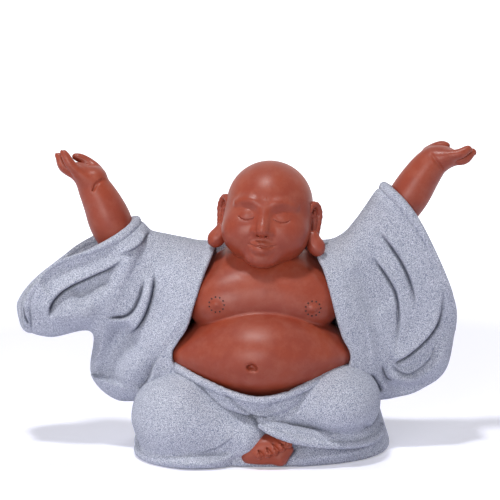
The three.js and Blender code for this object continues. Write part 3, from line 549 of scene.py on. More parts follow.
faceLines = [
    crease([(-7.0, -12.9), (-4.8, -13.9), (-2.2, -14.4), (0, -14.3), (2.2, -14.4), (4.8, -13.9), (7.0, -12.9)],
           0.62, 0.42, (0.12, 0.12)),
    *bothSides(lambda s: stepped([(s * 3.9, -0.5), (s * 6.0, -1.7), (s * 8.5, -2.2), (s * 11, -1.7),
                                  (s * 13.4, -0.1)], s, 0.28, 0, 1.2, 0.5, 0.34, (0.15, 0.2))),
    *bothSides(lambda s: crease([(s * 4.6, 1.5), (s * 7.2, 2.9), (s * 10, 2.9), (s * 12.9, 1.2)], 0.22, 0.4)),
    *bothSides(lambda s: crease([(s * 3.6, -7.6), (s * 5.8, -9.6), (s * 7.6, -12.0)], 0.18, 0.9, (0.3, 0.5))),
]
nostrils = bothSides(lambda s: egg([s * 1.7, -21.4, -9.0], [0.75, 1.1, 0.55]))
headForm = carved(0.45, headForm, *nostrils)
headForm = blend(1.6, headForm, limb([0, -18.6, -9.6], [0, -18.9, -12.2], 1.3, 1.3))
headForm = blend(0.4, headForm, egg([0, -19.0, 8.6], [0.95, 0.8, 0.95]))
headCentre = np.array([0, -4, -6])
vertices, faces = wrap(headForm, headCentre, around=380, up=250, focus=0.62, belt=0.45)
outward = (vertices - headCentre) / np.linalg.norm(vertices - headCentre, axis=1)[:, None]
lift = reliefOf(vertices[:, 0], vertices[:, 2], faceLines) * (vertices[:, 1] < -6)
vertices = vertices + outward * lift[:, None]
makePiece("head_skin", (posed(vertices, headPose), faces), ["head"], redClay)
print("head made")


# The robe hangs from hand to hand. Each row is a cross-section: top x, z, bottom x, z, the middle's y,
# its bulge to the front and back, and how far its front and back bow out along the sleeve.
robeLook = {
    "sections": [
        (-64, 117, -133, 69, -2, 15, 15), (-60.6, 113.4, -117.8, 59.2, -2, 16.5, 16),
        (-57.6, 111, -103, 54.6, -2, 17, 16), (-55, 108.2, -83, 57, -2, 17, 17),
        (-53, 106.4, -83.5, 35.7, -1, 17, 18), (-47, 104.8, -71.8, 23.2, 0, 20, 22),
        (-38, 102.8, -54.5, 21.5, 0, 27, 28), (-26, 100.7, -37, 8, 1, 33.5, 33), (1.5, 102, 0, 4, 3, 30, 35),
        (29, 101, 37, 8, 1, 33.5, 33), (38.6, 104.3, 54, 21.5, 0, 27, 28), (44.7, 111, 63.5, 23.6, 0, 20, 23),
        (49.7, 118.2, 77, 27.3, 0, 17, 19), (54.4, 125.5, 89.7, 38, -1, 16.5, 17),
        (59.1, 130.4, 94.5, 60, -2, 15.5, 15.5), (63, 134, 100, 72, -2, 14.5, 14.5),
    ],
    "fullness": 2.4, "wall": 3.0, "mouthDepth": 17.0, "step": 0.67, "backSeam": 36.0, "shoulderSeam": 6.0,
    "seam": 0.12, "relief": 1.5, "turn": 0.35, "farShell": 1.15,
    "joint": {"overlap": 1.2, "bandEnd": 0.6, "grooveWidth": 0.45, "underCuff": 0.04, "underBack": 0.07},
    "lip": {"height": 0.9, "place": 1.6, "width": 1.5},
    "lie": {"thickness": 2.6, "bow": 0.15, "side": 52, "low": 40, "back": -12, "neck": 84},
    "opening": [
        (-20, 106), (-23.3, 97.4), (-27.6, 88.2), (-31.9, 75.7), (-35.3, 64.5), (-40, 56.8), (-42.6, 51.4),
        (-40, 44), (-22, 30), (-2, 24), (18, 30), (38, 42), (41.9, 50.5), (37.7, 59.9), (34.6, 70.3), (32.1, 80.3),
        (29.1, 90.2), (26.2, 95.9), (23, 106)],
}
# The section that ends each sleeve and which way is out. Rows run from the mouth's bottom to its top: how far its
# front and back bow out, the turned band's width, its swell and the groove behind it, and extra wall.
mouths = {
    "left": {
        "rim": 1, "out": 1,
        "front": [-3, 1.2, 6.2, 9.4, 10.8, 11.6, 12.3, 12.4, 11.5, 9.4, 7.1, 5.2, 3.7, 2.4, 1.3, 0.6, 0.3],
        "back": [0.6, 8, 10.2, 11, 11.2, 11, 10.5, 10, 9.5, 9.1, 8.2, 7, 5.6, 4.2, 2.8, 1.8, 1],
        "band": [6.5, 5, 2.4, 2, 2, 2.6, 3.4, 3.7, 3.7], "swell": [0.5, 0.45, 0.15, 0.1, 0.2, 0.4, 0.7, 0.8, 0.8],
        "groove": [0.7, 0.7, 0.3, 0, 0, 0.5, 1.4, 1.6, 1.6], "wall": [14, 12, 4, 0, 0, 0, 0, 0, 0],
        "lines": [crease([(-114.9, 72.4), (-114.5, 69.2), (-113.6, 65.7), (-112.3, 63)], 1.8, 0.55, (0.2, 0.1)),
                  crease([(-112.5, 75.2), (-115.4, 75.6), (-116.6, 71.2), (-116.4, 65.2), (-115, 61.4),
                          (-112.7, 60.8), (-111.1, 62.9), (-111.2, 67.2), (-111.9, 72.2)],
                         0.7, 0.5, (0.05, 0.05))]},
    "right": {
        "rim": 14, "out": -1,
        "front": [0, 2.3, 4, 5, 5.9, 6.4, 6.8, 7, 7.2, 7.3, 7.3, 7.2, 6.8, 6, 4.8, 3, 0.8],
        "back": [0, 2.3, 4, 5, 5.9, 6.4, 6.8, 7, 7, 7, 6.8, 6.4, 5.9, 5, 4, 2.3, 0],
        "band": [1.8, 1.8, 2, 2, 2.4, 3.2, 4.2, 4.6, 4.6],
        "swell": [0.2, 0.15, 0.15, 0.15, 0.3, 0.6, 0.9, 0.9, 0.9],
        "groove": [0, 0, 0, 0, 0.2, 0.9, 1.7, 1.7, 1.7], "wall": [10, 5, 0, 0, 0, 0, 0, 0, 0], "lines": []},
}
frontFolds = [
    stepped([(-54.8, 106.8), (-57.3, 102.9), (-60.9, 100.3), (-65.4, 98.4), (-71.5, 95.8)], -1, 1.5, 0.6, 3.4,
        0.9, 0.7, (0.05, 0.5)),
    stepped([(-66, 96), (-71.8, 91.1), (-82, 86.2), (-91.7, 81.7), (-96.9, 78.1), (-100.8, 72.9),
        (-102.2, 66.3)], -1, 0.7, 2.4, 6, 2.2, 0.7, (0.25, 0.15)),
    stepped([(-56.1, 87.7), (-57.1, 81.9), (-59.1, 75.4), (-62, 70.1), (-66.2, 67.2), (-70.7, 66.7),
        (-75.5, 67)], 1, 1.2, 0.4, 4, 2.8, 0.75),
    stepped([(-51.5, 90.7), (-51.9, 82.3), (-53.5, 75.1), (-56.2, 67.9), (-60.4, 61.4), (-66.8, 54.9)], -1, 1.3,
        0.5, 4.2, 2.8, 0.8),
    wave([(-61.2, 65.6), (-66.4, 59), (-71, 51.1), (-74.3, 42.5), (-76.3, 34.6)], -6, 6.8, (0.3, 0.02)),
    wave([(-56.9, 49.1), (-63.4, 41.2), (-68.6, 33.3)], 0.9, 5),
    stepped([(-44.4, 54.9), (-48.9, 50.3), (-52.2, 45), (-54.1, 39.1), (-56.7, 34.5), (-60, 30.5)], 1, 1.2, 1.4,
        4, 1.2, 0.9, (0.5, 0.15)),
    wave([(-62.8, 98.9), (-72.5, 96.9), (-84.7, 92.4), (-96.2, 87.8), (-105.9, 81.9)], -2.6, 5, (0.35, 0.08)),
    wave([(-71.9, 87.3), (-82.2, 80.8), (-91.8, 76.3)], -2.2, 4.5),
    wave([(-77.1, 69.3), (-87.4, 68.9), (-96.3, 69.3), (-104.7, 68)], 1.6, 5),
    wave([(-46.7, 88.5), (-46.1, 78.1), (-48.1, 69), (-52.6, 60.5)], -1.1, 5.5),
    stepped([(54.3, 110.1), (58.5, 104.7), (63.1, 98.9), (67.8, 91.2), (71.3, 82.6), (72.9, 74.9), (73, 69.4)],
        1, 0.9, 0.4, 4.5, 2.4, 0.75, (0.3, 0.4)),
    stepped([(51.6, 97.7), (56.2, 91.5), (60.9, 84.6), (64, 78.4), (65.4, 70.6), (65.3, 62), (64.6, 54.2),
        (63.5, 49.5)], 1, 0.8, 0.6, 5, 2.2, 0.7, (0.2, 0.5)),
    stepped([(45.6, 72.2), (49, 65.2), (50.6, 57.4), (51.5, 49.6), (51.9, 44.2)], 1, 0.5, 0.3, 4, 0.35, 0.5),
    wave([(41.7, 93.4), (47.8, 84.2), (54.8, 75.7), (59.4, 68.7)], -1.5, 7),
    stepped([(87.1, 84), (86.8, 76.8), (85.9, 69), (84.1, 63), (80, 56.7), (75.1, 51.6), (69.8, 47.3),
        (63.4, 44)], -1, 1.8, 1.6, 6, 3.0, 0.85, (0.5, 0.05)),
    stepped([(82.1, 55.1), (80.2, 50.4), (76.1, 45.3), (69.9, 42.2), (66.1, 42.6)], -1, 0.3, 0.5, 1.6, 0.5,
        0.5),
    stepped([(84.6, 60), (83.3, 52), (81, 45.7), (76.1, 40.6), (70.8, 38), (66.1, 39.8), (62.4, 43.6)], -1, 0.3,
        0.4, 1.8, 1.2, 0.6, (0.4, 0.1)),
    wave([(88.3, 60), (87.3, 50), (83.9, 42.4), (78.6, 37.6), (72.5, 34.9), (66.3, 35.8), (61.7, 38.9),
        (58.9, 43.9)], 1.1, 2.3),
    wave([(60.5, 36.1), (64.4, 32.5), (70.6, 30.8), (77.3, 31.5), (85, 35.6)], -1.6, 2.6),
    crease([(57.7, 44.4), (58.5, 40.4), (60.5, 36.4), (63.6, 34.4)], 2.4, 1.5),
    crease([(51.3, 41.1), (54, 37.3), (56.4, 32.8), (57.8, 29.3)], 2.6, 1.4),
]
backFolds = [
    stepped([(-17, 94), (-24, 76), (-29, 54), (-31, 30)], 1, 1.3, 0.5, 7, 0.7, 0.8),
    stepped([(18, 94), (25, 74), (30, 52), (33, 28)], -1, 1.2, 0.5, 7, 0.7, 0.8),
    wave([(-3, 84), (-5, 62), (-3, 38), (-6, 16)], -1.5, 7),
    wave([(11, 78), (12, 52), (9, 24)], 1.3, 5),
    wave([(-12, 60), (-15, 36), (-14, 14)], 1.0, 4.5),
    stepped([(-46, 97), (-57, 84), (-72, 74), (-92, 67)], 1, 1.0, 0.8, 6, 0.7, 0.7),
    stepped([(-44, 84), (-50, 66), (-58, 50), (-66, 38)], -1, 1.1, 0.8, 6, 0.8, 0.7),
    wave([(-62, 103), (-76, 95), (-94, 84), (-104, 72)], -1.2, 5),
    stepped([(52, 108), (62, 92), (69, 74), (71, 58)], -1, 1.0, 0.7, 6, 0.7, 0.7),
    stepped([(46, 94), (54, 76), (58, 56), (57, 38)], 1, 1.1, 0.6, 6, 0.7, 0.7),
    wave([(64, 108), (75, 90), (82, 72), (80, 54)], -1.2, 5),
]


def outlineDistance(x, z, outline):
    line = np.array(outline, float)
    best, inside = np.full(x.shape, 1e9), np.zeros(x.shape, bool)
    for start, end in zip(line, np.roll(line, -1, axis=0)):
        best = np.minimum(best, np.hypot(*offLine(x, z, start, end)[:2]))
        slant = (end[0] - start[0]) / ((end[1] - start[1]) or 1e-9)
        inside ^= ((start[1] > z) != (end[1] > z)) & (x < slant * (z - start[1]) + start[0])
    return np.where(inside, -best, best)


# Which cross-section every place in front view lies on, and that section's numbers there
def sectionsAt(xs, zs, rows, count=241):
    table = smoothLine(rows, count)
    top, bottom = table[:, 0:2], table[:, 2:4]
    half = np.linalg.norm(top - bottom, axis=1) / 2
    up = (top - bottom) / (2 * half[:, None])
    middle = (top + bottom) / 2
    values = np.column_stack([middle, up, half, table[:, 4:7]])
    found = np.empty((len(xs), len(zs), values.shape[1]), np.float32)
    for i, x in enumerate(xs):
        ox, oz = x - middle[None, :, 0], zs[:, None] - middle[None, :, 1]
        across = -ox * up[:, 1] + oz * up[:, 0]
        along = np.abs(ox * up[:, 0] + oz * up[:, 1]) / half
        crossed = (across[:, :-1] < 0) & (across[:, 1:] >= 0)
        cost = np.where(crossed, along[:, :-1], np.inf)
        best = np.argmin(cost, axis=1)
        row = np.arange(len(zs))
        before, after = across[row, best], across[row, best + 1]
        share = np.where(crossed[row, best], before / np.where(before == after, 1, before - after), 0)
        outer = np.where(across[:, 0] > 0, 0, count - 1)
        place = np.where(np.isfinite(cost[row, best]), best + share, outer)
        start = np.minimum(place.astype(int), count - 2)
        part = (place - start)[:, None]
        found[i] = values[start] * (1 - part) + values[start + 1] * part
    return found


# Distances of the robe's outside on a grid. w runs through the cloth from -1 at the front to 1 at the back.
def robeGrid(low, high, look):
    step, fullness = look["step"], look["fullness"]
    xs, ys, zs = gridOf(low, high, step)
    at = sectionsAt(xs, zs, look["sections"])
    x, z = np.meshgrid(xs, zs, indexing="ij")
    mx, mz, ux, uz, half, y0, front, back = (at[..., i] for i in range(8))
    t = ((x - mx) * ux + (z - mz) * uz) / half
    y = ys[None, :, None]
    w = (y - y0[:, None, :]) / np.where(y < y0[:, None, :], front[:, None, :], back[:, None, :])
    shell = (np.abs(t[:, None, :]) ** fullness + np.abs(w) ** fullness) ** (1 / fullness)
    slope = np.sqrt(sum(part ** 2 for part in np.gradient(shell, step)))
    far = shell > look["farShell"]
    gap = np.where(far, np.maximum((shell - 1) / slope, 1.0), (shell - 1) / np.maximum(slope, 1e-3))
    for folds, facing, strength in ((frontFolds, -w, look["relief"]), (backFolds, w, 1.0)):
        gap -= reliefOf(x, z, folds, strength)[:, None, :] * np.clip(facing / look["turn"], 0, 1)
    return {"x": x, "y": y, "z": z, "w": w, "gap": np.clip(gap, -9, 9)}


# Distance in from a sleeve's mouth, and a function that reads a row of the mouth's numbers at each place
def mouthDepthOf(grid, look, mouth):
    topX, topZ, bottomX, bottomZ = look["sections"][mouth["rim"]][:4]
    reach = math.hypot(topX - bottomX, topZ - bottomZ)
    upX, upZ = (topX - bottomX) / reach, (topZ - bottomZ) / reach
    x, z = grid["x"] - (topX + bottomX) / 2, grid["z"] - (topZ + bottomZ) / 2
    out = (z * upX - x * upZ) * mouth["out"]
    rise = np.clip(2 * (x * upX + z * upZ) / reach, -1, 1)

    def row(name):
        values = smoothLine([[v] for v in mouth[name]], 65)[:, 0]
        return np.interp(rise, np.linspace(-1, 1, 65), values)[:, None, :]
    share = eased(np.clip(grid["w"] / 0.8 + 0.5, 0, 1))
    return row("front") + (row("back") - row("front")) * share - out[:, None, :], row


# The robe with its front opening, settled on the body underneath
def openRobe(grid, look):
    lip, lie = look["lip"], look["lie"]
    frontal = outlineDistance(grid["x"], grid["z"], smoothLine(look["opening"], 77))
    behind = grid["y"] - look["shoulderSeam"]
    swell = lip["height"] * np.exp(-((frontal - lip["place"]) / lip["width"]) ** 2) * (frontal > -3)
    gap = grid["gap"] - swell[:, None, :] * np.clip(-grid["w"] / 0.3, 0, 1)
    xs, ys, zs = grid["x"][:, 0], grid["y"][0, :, 0], grid["z"][0]
    near, tall = np.nonzero(np.abs(xs) < lie["side"])[0], np.nonzero(zs > lie["low"])[0]
    index = np.ix_(near, range(len(ys)), tall)
    bow = lie["bow"] * np.clip(frontal[np.ix_(near, tall)], 0, 30)[:, None, :] ** 2
    free = np.clip((grid["y"] - lie["back"]) / 2, 0, 30) + np.clip((zs[tall] - lie["neck"]) * 0.5, 0, 14)
    allowed = lie["thickness"] + bow + free
    gap[index] = softMax(gap[index], onGrid(underRobe, xs[near], ys, zs[tall]) - allowed, 3.0)
    return softMax(gap, -np.maximum(frontal[:, None, :], behind), 1.4)


def backPanel(grid, look):
    return np.maximum(look["shoulderSeam"] - grid["y"], np.abs(grid["x"])[:, None, :] - look["backSeam"])


# Painted shade in the back's cut creases, at half strength
def paintedBackCreaseShade(vertices):
    return paintedCreaseShade(vertices, backFolds) * (vertices[:, 1] > 8) * 0.5


# A cuff lies over the sleeve's end, and sinks into it where the band ends
def robeSide(side, low, high, look, mouth):
    grid, joint = robeGrid(low, high, look), look["joint"]
    depth, row = mouthDepthOf(grid, look, mouth)
    gap = openRobe(grid, look)
    gap -= reliefOf(grid["x"], grid["z"], mouth["lines"])[:, None, :] * (grid["y"] < -1)
    gap = softMax(gap, -np.maximum(gap + look["wall"] + row("wall"), depth - look["mouthDepth"]), 0.8)
    band = row("band")
    outside = np.clip(1 + gap / look["wall"], 0, 1)
    bulge = np.clip(1 - ((depth - band / 2) / (band / 2)) ** 2, -1, 1)
    lift = np.where(bulge > 0, row("swell") * bulge, 0.25 * bulge)
    cuff = softMax(softMax(gap - lift * outside, -depth, 1.3), depth - band - joint["bandEnd"], 0.5)
    groove = row("groove") * np.exp(-((depth - band) / joint["grooveWidth"]) ** 2)
    sleeve = np.maximum(gap + groove * outside + joint["underCuff"], joint["overlap"] - depth)
    panel = backPanel(grid, look)
    sleeve = np.maximum(sleeve + joint["underBack"] * (panel < 0), -panel - joint["overlap"])
    sleeve = np.maximum(sleeve, (grid["x"] * mouth["out"] + look["seam"])[:, None, :])
    for name, values in (("_cuff", cuff), ("_sleeve", sleeve)):
        vertices, faces = meshGrid(values, low, look["step"])
        # painted shade in the cut creases of the front and back
        dark = paintedCreaseShade(vertices, frontFolds + mouth["lines"]) * (vertices[:, 1] < -1) + paintedBackCreaseShade(vertices)
        makePiece(side + name + "_cloth", (vertices, faces), [side + name], sandClay, dark)


def robeBack(low, high, look):
    grid = robeGrid(low, high, look)
    gap = openRobe(grid, look)
    vertices, faces = meshGrid(np.maximum(gap, backPanel(grid, look)), low, look["step"])
    # painted shade in the back's cut creases
    makePiece("robe_back_cloth", (vertices, faces), ["robe_back"], sandClay, paintedBackCreaseShade(vertices))


robeSide("left", (-136, -50, 0.5), (0.6, 46, 122), robeLook, mouths["left"])
robeSide("right", (-0.6, -50, 0.5), (106, 46, 140), robeLook, mouths["right"])
robeBack((-38, 3, 0.5), (38, 46, 112), robeLook)
print("robe made")


# Robe over the crossed legs, each piece a form with its own creases
def clothPiece(name, form, low, high, nodes, folds=(), step=0.6):
    def creased(points):
        gap = form(points)
        close = np.abs(gap) < 6
        lift = np.zeros(len(points))
        lift[close] = reliefOf(points[close, 0], points[close, 2], folds)
        return gap - lift * np.clip((6 - points[:, 1]) / 6, 0, 1)
    vertices, faces = meshField(creased, low, high, step)
    # painted shade in the cut creases of the lap cloth's front
    dark = paintedCreaseShade(vertices, folds) * (vertices[:, 1] < 6)
    return makePiece(name, (vertices, faces), nodes, sandClay, dark)


def above(height):
    return lambda points: height - points[:, 2]


kneeLook = {
    "right": {"round": ((35.6, -21.5, 27.6), (21.2, 27.5, 19.2)),
              "thigh": ((28, -28, 27), (4.6, -39.6, 21.4), 15, 4.6)},
    "left": {"round": ((-38, -18.5, 18.4), (25, 30, 23.4), (0, 12, 0)),
             "thigh": ((-33, -26, 19.5), (-7.6, -37.6, 13), 20.5, 10)},
    "soft": 8, "skirt": ((-31, -17, 2.5), (31, 31.5, 8.5)),
}
seatLook = {
    "halfWidth": 61, "halfDepth": 44, "height": 27, "sunk": 4, "back": 1, "fullness": 2.4, "flare": 0.25,
    "edge": 8.0, "underEdge": 2.4,
    "discs": [{"centre": (4, 8), "radius": 20.3, "top": 4.3}, {"centre": (4, 17), "radius": 4, "top": 14}],
}
rightKneeForm, leftKneeForm = (blend(kneeLook["soft"], egg(*knee["round"]), limb(*knee["thigh"]))
                               for knee in (kneeLook["right"], kneeLook["left"]))
leftKneeForm = blend(3, leftKneeForm, egg(*kneeLook["skirt"]))
leftEdge = stepped([(-33.9, 49.6), (-23.4, 40.8), (-14.2, 32.7), (-6.3, 26.0), (-1.1, 23.2)], -1, 1.2, 1.0, 2.4,
                   1.0, 0.8, (0.3, 0.1))
rightEdge = stepped([(37, 50.2), (25.2, 46.2), (14.7, 39.5), (6.8, 32), (0.2, 25.3)], 1, 1.2, 1.0, 2.4, 1.0, 0.8,
                    (0.3, 0.1))
rightKneeFolds = [
    rightEdge,
    wave([(6, 22.4), (16, 19.4), (30, 17.4), (44, 17), (52, 18.6)], -1.8, 3.2, (0.1, 0.1)),
]
leftKneeFolds = [
    leftEdge,
    crease([(-62.5, 17.2), (-61, 10), (-58.5, 5), (-54, 1.5)], 0.5, 0.7),
    stepped([(-13.3, 16.2), (-19.9, 10.8), (-25.8, 8.4), (-33, 7.6)], -1, 0.9, 0.9, 2.4, 0.5, 0.7, (0.1, 0.5)),
    wave([(-9, 9), (-16, 5.4), (-26, 3.6), (-38, 3.2), (-50, 4)], 1.6, 1.9),
    wave([(-50, 30), (-40, 38), (-28, 35)], 0.5, 6),
]
clothPiece("right_knee_cloth", rightKneeForm, (0, -52, 6), (60, 16, 50), ["right_knee_drape"], rightKneeFolds)
clothPiece("left_knee_cloth", blend(1, leftKneeForm, above(0), mix=softMax), (-66, -54, -1.2), (8, 20, 46),
           ["left_knee_drape"], leftKneeFolds)
sashLook = {
    "path": [(-45, -19, 46.5), (-39.5, -27.5, 44.3), (-33.5, -33.8, 42), (-24, -39.4, 38.6), (-14, -43.2, 35.2),
             (-3, -45.2, 33), (7, -45, 34), (15.3, -42.8, 36.6), (26, -37.6, 40.4), (34, -30.2, 43.8),
             (40, -23, 45.5)],
    "edge": [1.2] + [2.0] * 9 + [1.2], "hang": 4.4, "depth": 4.4, "cloth": [2.8, 3.4, 4, 4.2, 4, 3.6, 2.8],
}
turnedEdge = chain(sashLook["path"], sashLook["edge"], 0.6, 30)
hangingPath = [(x, y + sashLook["depth"], z - sashLook["hang"]) for x, y, z in sashLook["path"][2:-2]]
hangingCloth = chain(hangingPath, sashLook["cloth"], 1, 24)
sashFolds = [
    crease(leftEdge["path"][1:], 0.6, 0.8), crease(rightEdge["path"][1:], 0.5, 0.8),
    wave([(-12, 31.8), (-6, 28.6), (-2, 27.4), (4, 29), (7.5, 31.8)], -2.8, 1.8),
]
clothPiece("sash_cloth", blend(0.8, turnedEdge, hangingCloth), (-49, -52, 24), (44, -14, 52), ["sash"], sashFolds)
hemLook = {
    "path": [(-1, -45.6, 20.8), (7.2, -47.2, 17.2), (18, -47.4, 13.8), (33, -45, 11.3), (46.5, -37, 9.9),
             (54.6, -28, 10.8), (58, -18, 14.4)],
    "edge": [1.3, 1.9, 1.8, 1.7, 1.8, 1.9, 1.2], "cloth": [1.6, 3, 3.6, 3.8, 4, 3.8, 3],
}
hemEdge = chain(hemLook["path"], hemLook["edge"], 0.8, 24)
hemCloth = chain([(x * 0.94, y + 4.2, z + 2.2) for x, y, z in hemLook["path"]], hemLook["cloth"], 1, 24)
clothPiece("hem_cloth", blend(0.8, hemEdge, hemCloth), (-5, -52, 4), (63, -8, 29), ["hem_roll"])


def seatForm(points):
    x, y, z = points.T
    full, edge, half = seatLook["fullness"], seatLook["edge"], (seatLook["height"] + seatLook["sunk"]) / 2
    wide = (np.abs(x / seatLook["halfWidth"]) ** full
            + np.abs((y - seatLook["back"]) / seatLook["halfDepth"]) ** full) ** (1 / full)
    around = (wide - 1) * 50 + (z - 8) * seatLook["flare"]
    high = np.abs(z - (seatLook["height"] - half)) - half
    corner = np.hypot(np.maximum(around + edge, 0), np.maximum(high + edge, 0)) - edge
    gap = softMax(np.maximum(corner, np.minimum(np.maximum(around, high), 0)), -z, seatLook["underEdge"])
    for disc in seatLook["discs"]:
        beside = np.hypot(x - disc["centre"][0], y - disc["centre"][1]) - disc["radius"]
        gap = np.maximum(gap, -np.maximum(beside, z - disc["top"]))
    return gap


seatFolds = [
    wave([(12, 6.6), (15.5, 8.6), (19.5, 10.6), (24, 12.2)], -3.4, 1.7, (0.02, 0.7)),
    wave([(14, 3), (24, 5), (38, 5.4), (54, 5.4)], 2.6, 2.6),
]
clothPiece("seat_cloth", seatForm, (-63, -45, -1.2), (63, 47, 29), ["seat"], seatFolds)
print("lap made")


# Ears with a rolled rim and a long lobe, worked beside the head and tilted with it
earLook = {"root": (18.7, 0, -2), "apart": 1.3, "flare": 20, "lean": 0.04, "step": 0.3}


def earForm(s):
    flare, lean = math.radians(earLook["flare"]), earLook["lean"]
    outward = np.array([s * math.cos(flare), -math.sin(flare), 0])
    backward = np.array([s * math.sin(flare), math.cos(flare), 0])
    root = (np.array(earLook["root"]) + [earLook["apart"] * (s > 0), 0, 0]) * [s, 1, 1]

    def place(u, v, w):
        return root + (u + lean * min(w, 0) ** 2) * outward + v * backward + np.array([0, 0, w])
    axes = np.stack([outward, backward, [0, 0, 1]], axis=1)
    plate = chain([(0, 0.7, 5.4), (0, 0.5, 0), (0, 0, -6), (0, -0.2, -10)], [3.9, 3.9, 3.3, 3.8], 1.5)

    def flat(points):
        own = (points - root) @ axes
        own[:, 0] -= lean * np.minimum(own[:, 2], 0) ** 2
        return plate(own / [0.55, 1, 1]) * 0.8
    lobe = blend(3, egg(place(0.3, -0.3, -8.2), (3.0, 3.3, 5.0)), egg(place(0.2, -0.2, -11.6), (3.8, 3.8, 4.3)))
    rim = chain([place(0.6, -3.2, -2.4), place(0.9, -3.3, 3), place(1.4, -1.0, 8.2), place(2.4, 2.8, 8.0),
                 place(3.1, 4.9, 3.8), place(2.7, 4.5, -2), place(1.8, 2.9, -6), place(1.0, 1.6, -8.6)],
                [0.9, 1.1, 1.35, 1.45, 1.45, 1.35, 1.2, 1.2], 0.8)
    inner = chain([place(1.5, 1.9, 5.0), place(1.9, 2.6, 1.4), place(1.6, 2.0, -2.6), place(1.0, 0.6, -5)],
                  [0.7, 0.9, 0.9, 0.8], 0.8)
    hollow = egg(place(2.7, -0.1, -0.8), (2.6, 2.1, 3.6))
    scoop = blend(0.8, egg(place(2.3, 0.6, 5.4), (1.8, 1.7, 1.5)), egg(place(2.7, 3.6, 1.2), (1.5, 0.7, 3.6)))
    tragus = egg(place(1.1, -2.7, -2.6), (1.2, 1.1, 1.8))
    ear = carved(0.9, blend(1.2, flat, lobe), hollow, scoop)
    return blend(0.7, ear, rim, inner, tragus)


for side, s in (("left", -1), ("right", 1)):
    low = (-32, -9, -21) if s < 0 else (13, -9, -21)
    vertices, faces = meshField(earForm(s), low, (low[0] + 20, 10, 11), earLook["step"])
    makePiece(side + "_ear_skin", (posed(vertices, headPose), faces), [side + "_ear"], redClay)
print("ears made")


# Raised forearms with open hands, palms up, fingers outward
handLook = {
    "left": {
        "arm": [(-67.2, -2, 96), (-72.6, -2, 109.7), (-76.9, -2.5, 120.3), (-81.8, -3, 129.8)],
        "armRadii": [7.2, 10, 8.9, 7.1],
        "palm": ((-85.4, -3.2, 133.8), (8.2, 7.6, 5), (0, 36, 0)),
        "heel": ((-79.2, -3, 134), (4.4, 6.4, 3.8), (0, 25, 0)),
        "fingers": [[(-86.4, -7.8, 134.4), (-91.2, -8.9, 139.6), (-94.4, -8.4, 145)],
                    [(-87.6, -4.8, 133.4), (-94.4, -5.6, 138), (-97.2, -5, 143.2)],
                    [(-88, -0.8, 133), (-95, -1.4, 137.2), (-97.4, -1, 142.4)],
                    [(-87, 2.8, 133.6), (-93.6, 3, 137), (-96, 3, 142)]],
        "thumb": [(-79.4, 1.4, 135.6), (-83, 3.4, 138.4), (-86.8, 3.6, 140.8), (-90, 3, 142)],
        "crease": [(-74.4, -7, 132.6), (-77.2, -9.2, 131.6), (-79.4, -10, 130), (-80.8, -10, 127.2)],
        "out": (-1, 0, 0.25), "low": (-100.5, -15, 84), "high": (-55, 9, 150)},
    "right": {
        "arm": [(60.5, -2, 108), (70.2, -2, 122.9), (76.6, -2.5, 133.3), (81.4, -3, 140)],
        "armRadii": [7.6, 9.3, 8.4, 7.2],
        "palm": ((86.8, -3.2, 142.8), (7.8, 7.6, 5.2), (0, 10, 0)),
        "heel": ((86.4, -3, 140.4), (4.4, 6.2, 3.6), (0, -20, 0)),
        "fingers": [[(87, -7.6, 143.8), (93.8, -8.9, 144.8), (98.2, -8.5, 147.2)],
                    [(88.4, -4.6, 141.8), (96.2, -5.4, 141.6), (100.6, -5, 145.4)],
                    [(89, -0.8, 141.8), (96.2, -1, 141.4), (100.4, -0.8, 144.6)],
                    [(88.6, 2.8, 141.4), (95, 3, 140.8), (99, 3, 143.4)]],
        "thumb": [(80.2, 1.4, 144.6), (83.6, 3.4, 146.2), (86.6, 3.8, 147.2), (89, 3.2, 147.2)],
        "crease": [(80.4, -9.4, 145), (82.2, -10.4, 142.4), (84.2, -10.2, 139.6), (86.6, -8.8, 136.4)],
        "out": (0.85, 0, -0.35), "low": (48, -15, 96), "high": (104.5, 9, 153)},
    "fingerRadii": [2.5, 2.35, 2.15, 1.7], "thumbRadii": [2.7, 2.4, 2.1, 1.6], "soft": 1.2, "step": 0.36,
}


def handForm(look):
    tips = [path[-1] for path in look["fingers"]] + [look["thumb"][-1]]
    out = np.array(look["out"]) / np.linalg.norm(look["out"])
    arm = chain(look["arm"], look["armRadii"], 1, 16)
    palm = blend(3, egg(*look["palm"]), egg(*look["heel"]))
    digits = [roll(path, handLook["fingerRadii"], 0.8, 9) for path in look["fingers"]]
    thumb = roll(look["thumb"], handLook["thumbRadii"], 0.8, 9)
    nails = [nearby(egg(np.array(tip) + out * 1.25 + [0, 0, 0.1], (0.8, 1.15, 1.35)), tip, 4) for tip in tips[:4]]
    fingers = blend(0.15, *digits)
    hand = blend(1.2, palm, fingers)
    hand = blend(1.2, hand, thumb)
    whole = blend(2.6, arm, hand)
    whole = blend(0.2, whole, *nails)
    crease = roll(look["crease"], [0.1, 0.3, 0.4, 0.3], 0.5, 9)
    return carved(1.2, whole, crease)


for side in ("left", "right"):
    look = handLook[side]
    surface = meshField(handForm(look), look["low"], look["high"], handLook["step"])
    makePiece(side + "_forearm_skin", surface, [side + "_forearm"], redClay)
print("arms made")


